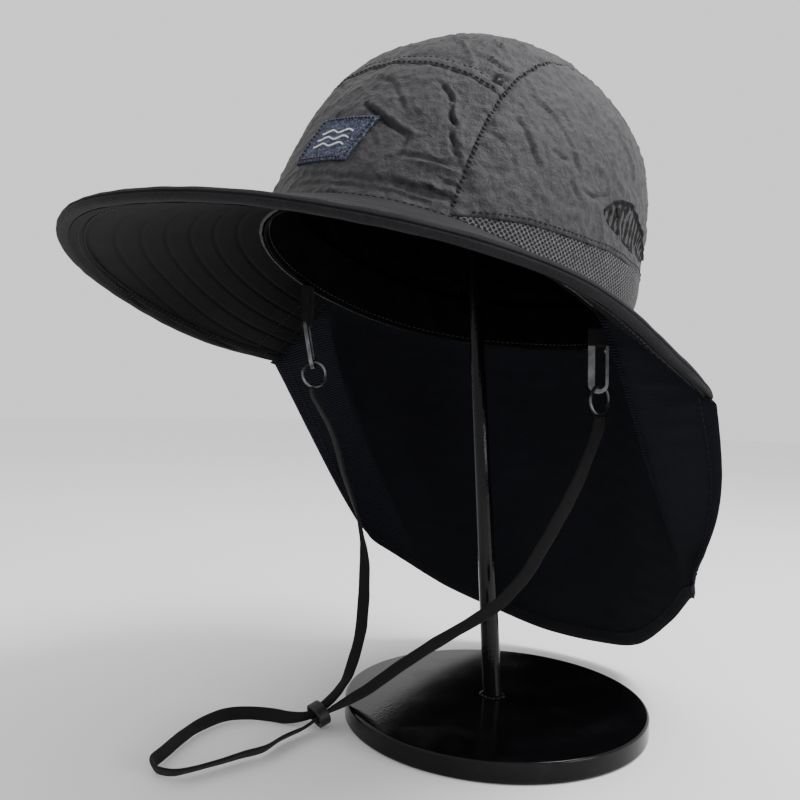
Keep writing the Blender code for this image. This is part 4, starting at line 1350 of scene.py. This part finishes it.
def make_sweatband():
    """Soft band inside the opening, with a row of stitches along its lower edge whose light grey colour
    is a painted highlight on that edge.
    """
    share = np.linspace(0, 1, 26)[:, None]
    angle = np.linspace(0, 360, 260) + 0 * share
    height = height_at_level(angle, opening_point(angle)[..., 2] + BAND_HEIGHT * share)
    inset = CROWN_CLOTH + 2 * GAP + BAND_CLOTH / 2
    places = crown_point(angle, height, 0) - outward(angle) * inset
    places = places - outward(angle) * (0.30 * MILLIMETRE * crumple(places, 0.012, 14)
                                        + 0.35 * MILLIMETRE * hump(share - 0.08, 0.06))[..., None]
    mesh = mend(grid_mesh("sweatband_cloth", places, spread(places)))
    mesh.transform(Matrix(HAT_POSE.tolist()))
    piece = new_piece("sweatband_cloth", mesh, BAND, ("sweatband",))
    apply_modifier(piece, "SOLIDIFY", thickness=BAND_CLOTH * 0.8, offset=0.0)
    line = np.linspace(0, 360, 700)
    foot = opening_point(line)
    level = height_at_level(line, foot[:, 2] + 2.6 * MILLIMETRE)
    places = worn(crown_point(line, level, 0) - outward(line) * (inset + 0.9 * MILLIMETRE))
    normals = turned(-outward(line))
    rows = [stitched(places, normals, space=0.9 * MILLIMETRE)]
    # The light grey stitches paint the highlight along the band's lower edge.
    sew("sweatband_stitches", rows, 0.45, 0.35, GREY_THREAD_HIGHLIGHT)


# Cuff of the crown's adjuster: angle, shares of height of its lower and upper edge
CUFF_ROWS = (
    (83.0, 0.285, 0.300),
    (86.0, 0.272, 0.350),
    (90.0, 0.262, 0.385),
    (95.0, 0.256, 0.408),
    (100.0, 0.255, 0.402),
    (106.0, 0.262, 0.380),
    (114.0, 0.280, 0.354),
    (122.0, 0.305, 0.330),
)
PLEAT_SPACE = 2.6
SNAP_SPOT = (89.5, 0.335)


def make_adjuster():
    """Gathered cuff behind the left side, with a small snap."""
    turn = np.linspace(CUFF_ROWS[0][0], CUFF_ROWS[-1][0], 120)
    share = np.linspace(0, 1, 36)[:, None]
    low, high = table(CUFF_ROWS, 1, turn), table(CUFF_ROWS, 2, turn)
    height = low + (high - low) * share
    angle = np.broadcast_to(turn, height.shape)
    shaped = crown_cloth(angle, height)
    phase = 2 * pi / PLEAT_SPACE * turn + 2.2 * crumple(shaped, 0.010, 51)
    pleats = np.sin(phase) * np.sin(pi * share) ** 0.5
    edge = hump(share - 1, 0.13) * 0.9
    lift = 0.35 + 0.45 * pleats + edge + 0.5 * crumple(shaped, 0.004, 52)
    lift = np.maximum(lift, 0.25) * MILLIMETRE
    places = worn(shaped + crown_normal(angle, height) * lift[..., None])
    mesh = mend(grid_mesh("adjuster_cuff", places, spread(places)))
    face_away(mesh, worn(np.array(CROWN_MIDDLE)))
    piece = new_piece("adjuster_cuff", mesh, CUFF)
    apply_modifier(piece, "SOLIDIFY", thickness=0.9 * MILLIMETRE, offset=-1.0)
    snap_spot = on_cloth(*np.array(SNAP_SPOT)[:, None], 1.2 * MILLIMETRE)
    place, normal = (values[0] for values in snap_spot)
    deselect_all()
    bpy.ops.mesh.primitive_cylinder_add(vertices=40, radius=2.3 * MILLIMETRE, depth=1.2 * MILLIMETRE)
    piece = new_piece("adjuster_snap", made_mesh(facing(place, normal)), CUFF, angle=50)
    bevel(piece, 0.4 * MILLIMETRE)


make_top_panel()
make_front_panel()
make_side_panels()
make_vents()
make_crown_stitches()
make_adjuster()
make_sweatband()


# Label, with three plain woven waves. The waves are given as shares of the label's width
# and height, their turn in radians for its whole width.

LABEL_INSET = 1.3 * MILLIMETRE
WAVE_SPAN = (0.2, 0.8)
WAVE_LEVELS = (0.66, 0.51, 0.36)
WAVE_RISE = 0.034
WAVE_TURN = 21


def label_spot(across, up, lift):
    """A place over the label's patch, both shares from 0 to 1."""
    sideways = LABEL_WIDTH * (across - 0.5) + LABEL_LEAN * (up - 0.5)
    angle = np.degrees(np.arctan2(2 * sideways / OPENING_WIDTH, 1))
    height = height_at_level(angle, LABEL_LIFT + LABEL_HEIGHT * up - LABEL_DIP * (across - 0.5))
    normals = crown_normal(angle, height)
    return worn(crown_point(angle, height) + normals * np.asarray(lift)[..., None]), turned(normals)


def make_label():
    """Patch with a raised border, stitched all round."""
    up, across = np.meshgrid(np.linspace(0, 1, 46), np.linspace(0, 1, 60), indexing="ij")
    edge = np.minimum(np.minimum(across, 1 - across) * LABEL_WIDTH,
                      np.minimum(up, 1 - up) * LABEL_HEIGHT)
    border = hump(edge - 1.0 * MILLIMETRE, 1.1 * MILLIMETRE)
    places, _ = label_spot(across, up, 0.9 * MILLIMETRE + LABEL_CLOTH * (0.55 + 0.45 * border))
    mesh = mend(grid_mesh("label_cloth", places, spread(places)))
    face_away(mesh, worn(np.array(CROWN_MIDDLE)))
    piece = new_piece("label_cloth", mesh, LABEL, ("label_patch",))
    apply_modifier(piece, "SOLIDIFY", thickness=1.9 * MILLIMETRE, offset=-1.0)
    low_x, low_y = LABEL_INSET / LABEL_WIDTH, LABEL_INSET / LABEL_HEIGHT
    high_x, high_y = 1 - low_x, 1 - low_y
    corners = ((low_x, low_y), (high_x, low_y), (high_x, high_y), (low_x, high_y), (low_x, low_y))
    share = np.linspace(0, 1, 40)
    rim, waves = [], []
    for (start_x, start_y), (end_x, end_y) in zip(corners, corners[1:]):
        side = label_spot(start_x + (end_x - start_x) * share, start_y + (end_y - start_y) * share,
                          2.0 * MILLIMETRE + 0 * share)
        rim.append(stitched(*side, 1.3 * MILLIMETRE, 0.5 * MILLIMETRE))
    share = np.linspace(*WAVE_SPAN, 90)
    for level in WAVE_LEVELS:
        wave = label_spot(share, level + WAVE_RISE * np.sin(share * WAVE_TURN),
                          1.55 * MILLIMETRE + 0 * share)
        waves.append(stitched(*wave, 0.9 * MILLIMETRE, 0.06 * MILLIMETRE))
    sew("label_border", rim, 0.6, 0.4, DARK_THREAD)
    sew("label_waves", waves, 0.75, 0.4, WHITE_THREAD)


make_label()


# Brim and its padded rim

HEM_WIDTH = 10 * MILLIMETRE
HEM_STEP = 0.45 * MILLIMETRE
CHANNEL_DEPTH = 0.55 * MILLIMETRE
CHANNEL_WIDTH = 0.75 * MILLIMETRE
CREASE_DEPTH = 0.20
CREASE_TURN = 0.45
CREASE_WIDTH = 0.15


def brim_relief(distance, from_rim, places, seed):
    """Sewn channels of the brim, its hem's step and a slight unevenness."""
    depth = 0.12 * MILLIMETRE * crumple(places, 0.016, seed)
    for row in QUILT_ROWS:
        depth -= CHANNEL_DEPTH * groove(distance - row, CHANNEL_WIDTH)
    return depth + HEM_STEP * (1 - ramp(from_rim, HEM_WIDTH - 0.8 * MILLIMETRE, HEM_WIDTH))


def make_brim():
    """Bill with stitched channels above and below."""
    columns, rows = 380, 96
    out = np.linspace(0, 1, rows)[:, None]
    angle = brim_angle(np.linspace(0, 1, columns), out)
    reach = brim_width(angle) - BINDING_WIDTH * 0.6
    distance = (reach + CROWN_CLOTH) * out - CROWN_CLOTH
    middle = brim_point(angle, distance, BRIM_THICKNESS / 2 + 0 * distance)
    from_rim = brim_width(angle) - distance
    # The underside takes the darker copy of the brim cloth: painted shade.
    for name, side, material, seed in (("upper", 1, BRIM_TOP, 20), ("under", -1, BRIM_UNDER_SHADED, 21)):
        name = "brim_" + name + "_cloth"
        face = BRIM_THICKNESS / 2 + brim_relief(distance, from_rim, middle, seed) - 0.15 * MILLIMETRE
        outer = brim_point(angle, distance, BRIM_THICKNESS / 2 + side * face)
        inner_lift = BRIM_THICKNESS / 2 + side * 0.05 * MILLIMETRE + 0 * distance
        inner = brim_point(angle, distance, inner_lift)
        grid = np.concatenate((outer, inner[::-5], outer[:1]))
        mesh = mend(grid_mesh(name, worn(grid), spread(grid)), caps=True)
        new_piece(name, mesh, material, ("brim",), 50)


def make_rim():
    """Padded bound edge with a fold along its side."""
    share = np.linspace(-1, 1, 420)[:, None]
    turn = np.linspace(0, 2 * pi, 29)[None, :]
    angle = brim_angle((share + 1) / 2, 1) + 0 * turn
    from_end = np.clip((1 - np.abs(share)) / BINDING_END_SHARE, 0, 1)
    slim = BINDING_END_SIZE + (1 - BINDING_END_SIZE) * from_end
    crease = 1 - CREASE_DEPTH * groove(turn - CREASE_TURN, CREASE_WIDTH)
    distance = brim_width(angle) - BINDING_WIDTH / 2 * (1 - slim * crease * np.cos(turn))
    lift = BINDING_HEIGHT / 2 * (1 + slim * crease * np.sin(turn))
    places = brim_point(angle, distance, lift)
    swell = 0.22 * MILLIMETRE * crumple(places, 0.009, 24)
    places = brim_point(angle, distance + swell * np.cos(turn), lift + swell * np.sin(turn))
    mesh = mend(grid_mesh("rim_cloth", worn(places), spread(places)), caps=True)
    new_piece("rim_cloth", mesh, RIM_CLOTH, ("brim_binding",), 60)


def brim_row(angle, distance, above, lift=0.0):
    """Places and normals along a row of the brim's sewing."""
    level = BRIM_THICKNESS + lift if above else -lift
    places = worn(brim_point(angle, distance, level + 0 * angle))
    raised = level + (MILLIMETRE if above else -MILLIMETRE)
    return places, unit(worn(brim_point(angle, distance, raised + 0 * angle)) - places)


def make_brim_stitches():
    """Rows of stitches along the hem, above and below, and along the ends."""
    rows = []
    angle = np.linspace(-93, 98, 900)
    for from_rim in (HEM_WIDTH + 0.2 * MILLIMETRE, HEM_WIDTH - 2.2 * MILLIMETRE):
        for above in (True, False):
            row = brim_row(angle, brim_width(angle) - from_rim, above, 0.30 * MILLIMETRE)
            rows.append(stitched(*row))
    angle = np.linspace(-89, 89, 900)
    rows.append(stitched(*brim_row(angle, 3.0 * MILLIMETRE + 0 * angle, True, THREAD_LIFT)))
    for side in (1, -1):
        width = brim_width(ear_angle(1, side))
        distance = np.linspace(3.0 * MILLIMETRE, width - HEM_WIDTH, 60)
        for shift in (2.0, 9.0):
            turn = side * (ear_angle(distance / width, side) - shift)
            rows.append(stitched(*brim_row(turn, distance, False, THREAD_LIFT)))
    sew("brim_stitches", rows, 0.5, 0.4, DARK_THREAD)


make_brim()
make_rim()
make_brim_stitches()


# Neck flap

FLAP_HEM = 9 * MILLIMETRE
CORNER_RADIUS = 14 * MILLIMETRE


def round_corners(places, aside, down):
    """Shift that draws the cloth's two lower corners in to a rounded outline."""
    by_side = np.clip(1 - aside / CORNER_RADIUS, 0, 1)
    by_hem = np.clip(1 - down / CORNER_RADIUS, 0, 1)
    keep = np.maximum(by_side, by_hem) / np.maximum(np.hypot(by_side, by_hem), 1e-9)
    side = np.sign(0.5 - np.linspace(0, 1, places.shape[1]))[None, :, None]
    across = unit(np.gradient(places, axis=1)) * side * (by_side * (1 - keep))[..., None]
    upward = unit(np.gradient(places, axis=0)) * -(by_hem * (1 - keep))[..., None]
    return CORNER_RADIUS * (across + upward)


def evened(line, reach=6):
    """A line of places with its small steps evened out."""
    window = np.ones(2 * reach + 1) / (2 * reach + 1)
    return np.stack([np.convolve(np.pad(line[:, axis], reach, "edge"), window, "valid")
                     for axis in range(3)], axis=1)


def flap_threads(outer, normals, half, down, width):
    """Rows of stitches down both sides of the flap and along its hem, front and back."""
    columns = outer.shape[1]
    inset = FLAP_HEM - 1.2 * MILLIMETRE
    first = int(columns * inset / width)
    chosen = np.arange(first, columns - first)
    level = np.array([np.abs(down[:, column] - inset).argmin() for column in chosen])
    sides = [(np.flatnonzero(down[:, column] > inset), column)
             for column in (first, columns - 1 - first)]
    threads = []
    for spots in sides + [(level, chosen)]:
        for sign in (1, -1):
            facing_out = sign * normals[spots]
            line = outer[spots] + facing_out * (half[spots][:, None] + THREAD_LIFT)
            threads.append(stitched(evened(line) if spots[0] is level else line, facing_out))
    return threads


def make_flap():
    """One cloth from ear to ear, with a sewn hem and soft folds."""
    share, fall = np.meshgrid(np.linspace(0, 1, 264), np.linspace(0, 1, 114))
    places = flap_point(share, fall)
    normals = grid_normals(places)
    cloth = spread(places)
    width = cloth[0, -1, 0]
    down = cloth[-1, :, 1][None, :] - cloth[..., 1]
    aside = np.minimum(share, 1 - share) * width
    from_edge = np.minimum(down, aside)
    relief = 0.9 * MILLIMETRE * crumple(places, 0.035, 30) * ramp(down, 0, 0.02)
    relief += 0.5 * MILLIMETRE * crumple(places * np.array((1, 1, 2.4)), 0.015, 31)
    near_crown = np.exp(-cloth[..., 1] / 0.030)
    relief += 1.2 * MILLIMETRE * near_crown * crumple(places * np.array((0.5, 0.5, 3.0)), 0.012, 32)
    relief *= ramp(cloth[..., 1], 0, 0.008) * ramp(from_edge, -0.004, 0.012) * 0.8 + 0.2
    outer = places + normals * relief[..., None] + round_corners(places, aside, down)
    hem = 0.45 * MILLIMETRE * (1 - ramp(from_edge, FLAP_HEM - 0.7 * MILLIMETRE, FLAP_HEM))
    thinned = 0.25 + 0.75 * ramp(from_edge, -0.5 * MILLIMETRE, 3 * MILLIMETRE)
    half = (0.45 * MILLIMETRE + hem) * thinned
    front = outer + normals * half[..., None]
    back = outer - normals * half[..., None]
    tuck = flap_tuck(share[0])
    grid = np.concatenate((front[:1] + tuck, front, back[::-1], back[:1] + tuck, front[:1] + tuck))
    mapped = np.concatenate((cloth[:1], cloth, cloth[::-1], cloth[:1], cloth[:1]))
    mesh = mend(grid_mesh("neck_flap_cloth", grid, mapped), caps=True)
    flap = new_piece("neck_flap_cloth", mesh, FLAP, ("neck_flap",), 70)
    threads = flap_threads(outer, normals, half, down, width)
    stitches = sew("flap_stitches", threads, 0.5, 0.35, DARK_THREAD)


make_flap()


# Clips, tabs and rings

def make_ring(side):
    """Round wire ring in the place of its solid."""
    places = node_points("strap_ring_" + side)
    centre = (places.max(axis=0) + places.min(axis=0)) / 2
    normal = np.linalg.svd(places - places.mean(axis=0), full_matrices=False)[2][2]
    reach = np.linalg.norm(places - centre, axis=1)
    wire = reach.max() - reach.min()
    deselect_all()
    bpy.ops.mesh.primitive_torus_add(major_radius=reach.max() - wire / 2, minor_radius=wire / 2,
                                     major_segments=72, minor_segments=16)
    mesh = made_mesh(facing(centre, normal))
    new_piece("ring_" + side, mesh, NICKEL, ("strap_ring_" + side,), 60)


KNOB_HEADING = radians(40)
KNOB_RADIUS = 1.5 * MILLIMETRE
KNOB_DROP = 2.0 * MILLIMETRE
KNOB_OUT = 0.72


def make_clip_knob(side):
    """Small knob at the top of the clip's tongue, below its tab."""
    low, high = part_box("strap_clip_" + side)
    middle = (np.array(low) + np.array(high)) / 2
    places = node_points("strap_clip_" + side)
    around = places[np.abs(places[:, 2] - middle[2]) < 12 * MILLIMETRE]
    outer = around[np.argmax(around @ np.array((cos(KNOB_HEADING), sin(KNOB_HEADING), 0)))]
    place = middle + (outer - middle) * KNOB_OUT
    place[2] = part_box("clip_tab_" + side)[0][2] - KNOB_DROP
    deselect_all()
    bpy.ops.mesh.primitive_uv_sphere_add(segments=20, ring_count=12, radius=KNOB_RADIUS)
    mesh = made_mesh(Matrix.Translation(place) @ Matrix.Diagonal((1, 1, 1.25, 1)))
    new_piece("clip_knob_" + side, mesh, NICKEL, angle=60)


for side in ("left", "right"):
    soften("clip_tab_" + side, "tab_loop_" + side, TAPE, 1.1 * MILLIMETRE)
    soften("strap_clip_" + side, "clip_" + side, NICKEL, 0.45 * MILLIMETRE)
    make_ring(side)
make_clip_knob("left")


# Stand

def make_plate():
    """Round plate with a finely rolled edge."""
    low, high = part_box("stand_base")
    radius = (high[0] - low[0]) / 2
    deselect_all()
    bpy.ops.mesh.primitive_cylinder_add(vertices=200, radius=radius, depth=high[2] - low[2],
                                        location=(0, 0, (high[2] + low[2]) / 2))
    piece = new_piece("plate", made_mesh(), PAINT, ("stand_base",), 50)
    bevel(piece, 1.2 * MILLIMETRE, 5)


# Beads of the weld round the post's foot: heading in degrees, size in millimetres
WELD_BEADS = (
    (10, 1.7), (48, 1.3), (80, 1.6), (118, 1.2), (150, 1.7), (185, 1.4), (214, 1.9),
    (246, 1.3), (275, 1.6), (300, 1.8), (332, 1.4),
)


def make_weld():
    """Ring of small beads where the post meets the plate."""
    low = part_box("stand_post")[0]
    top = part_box("stand_base")[1][2]
    feet = node_points("stand_post")
    foot = feet[feet[:, 2] < low[2] + MILLIMETRE]
    centre = (foot.max(axis=0) + foot.min(axis=0)) / 2
    radius = (foot.max(axis=0) - foot.min(axis=0))[0] / 2
    deselect_all()
    beads = []
    for heading, size in WELD_BEADS:
        turn = radians(heading)
        place = (centre[0] + radius * cos(turn), centre[1] + radius * sin(turn), top + 0.3 * MILLIMETRE)
        bpy.ops.mesh.primitive_uv_sphere_add(segments=16, ring_count=10, radius=size * MILLIMETRE,
                                             location=place)
        beads.append(bpy.context.object)
    for bead in beads:
        bead.select_set(True)
    bpy.context.view_layer.objects.active = beads[0]
    bpy.ops.object.join()
    flatten = (Matrix.Translation((0, 0, top)) @ Matrix.Diagonal((1, 1, 0.7, 1))
               @ Matrix.Translation((0, 0, -top)))
    new_piece("post_weld", made_mesh(flatten), PAINT, angle=60)


def dress(node, material):
    """Give a node's object its finish."""
    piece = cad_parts[node]
    piece.data.materials.clear()
    piece.data.materials.append(material)


make_plate()
make_weld()
dress("stand_post", PAINT)


# Ground and light. Lamps: name, place, size and power in watts.

LAMPS = (
    ("key", (0.55, 0.25, 1.2), 0.45, 16),
    ("side", (1.3, 0.1, 0.35), 0.5, 6),
)
LAMP_AIM = Vector((0, 0, 0.2))
SURROUND_STRENGTH = 1.1


def set_stage():
    """Pale ground, an even bright surround and two soft lights."""
    deselect_all()
    bpy.ops.mesh.primitive_plane_add(size=8, location=(0, 0, -0.0002))
    ground = bpy.context.object
    ground.name = "ground"
    ground.data.materials.append(pale_floor())
    surround = bpy.data.worlds.new("surround")
    surround.use_nodes = True
    background = surround.node_tree.nodes["Background"]
    background.inputs["Color"].default_value = (1, 1, 1, 1)
    background.inputs["Strength"].default_value = SURROUND_STRENGTH
    bpy.context.scene.world = surround
    for name, place, size, power in LAMPS:
        light = bpy.data.lights.new(name, "AREA")
        light.size = size
        light.energy = power
        lamp = bpy.data.objects.new(name, light)
        lamp.location = place
        lamp.visible_camera = False
        lamp.rotation_euler = (Vector(place) - LAMP_AIM).to_track_quat("Z", "Y").to_euler()
        bpy.context.scene.collection.objects.link(lamp)


set_stage()

bpy.context.view_layer.update()
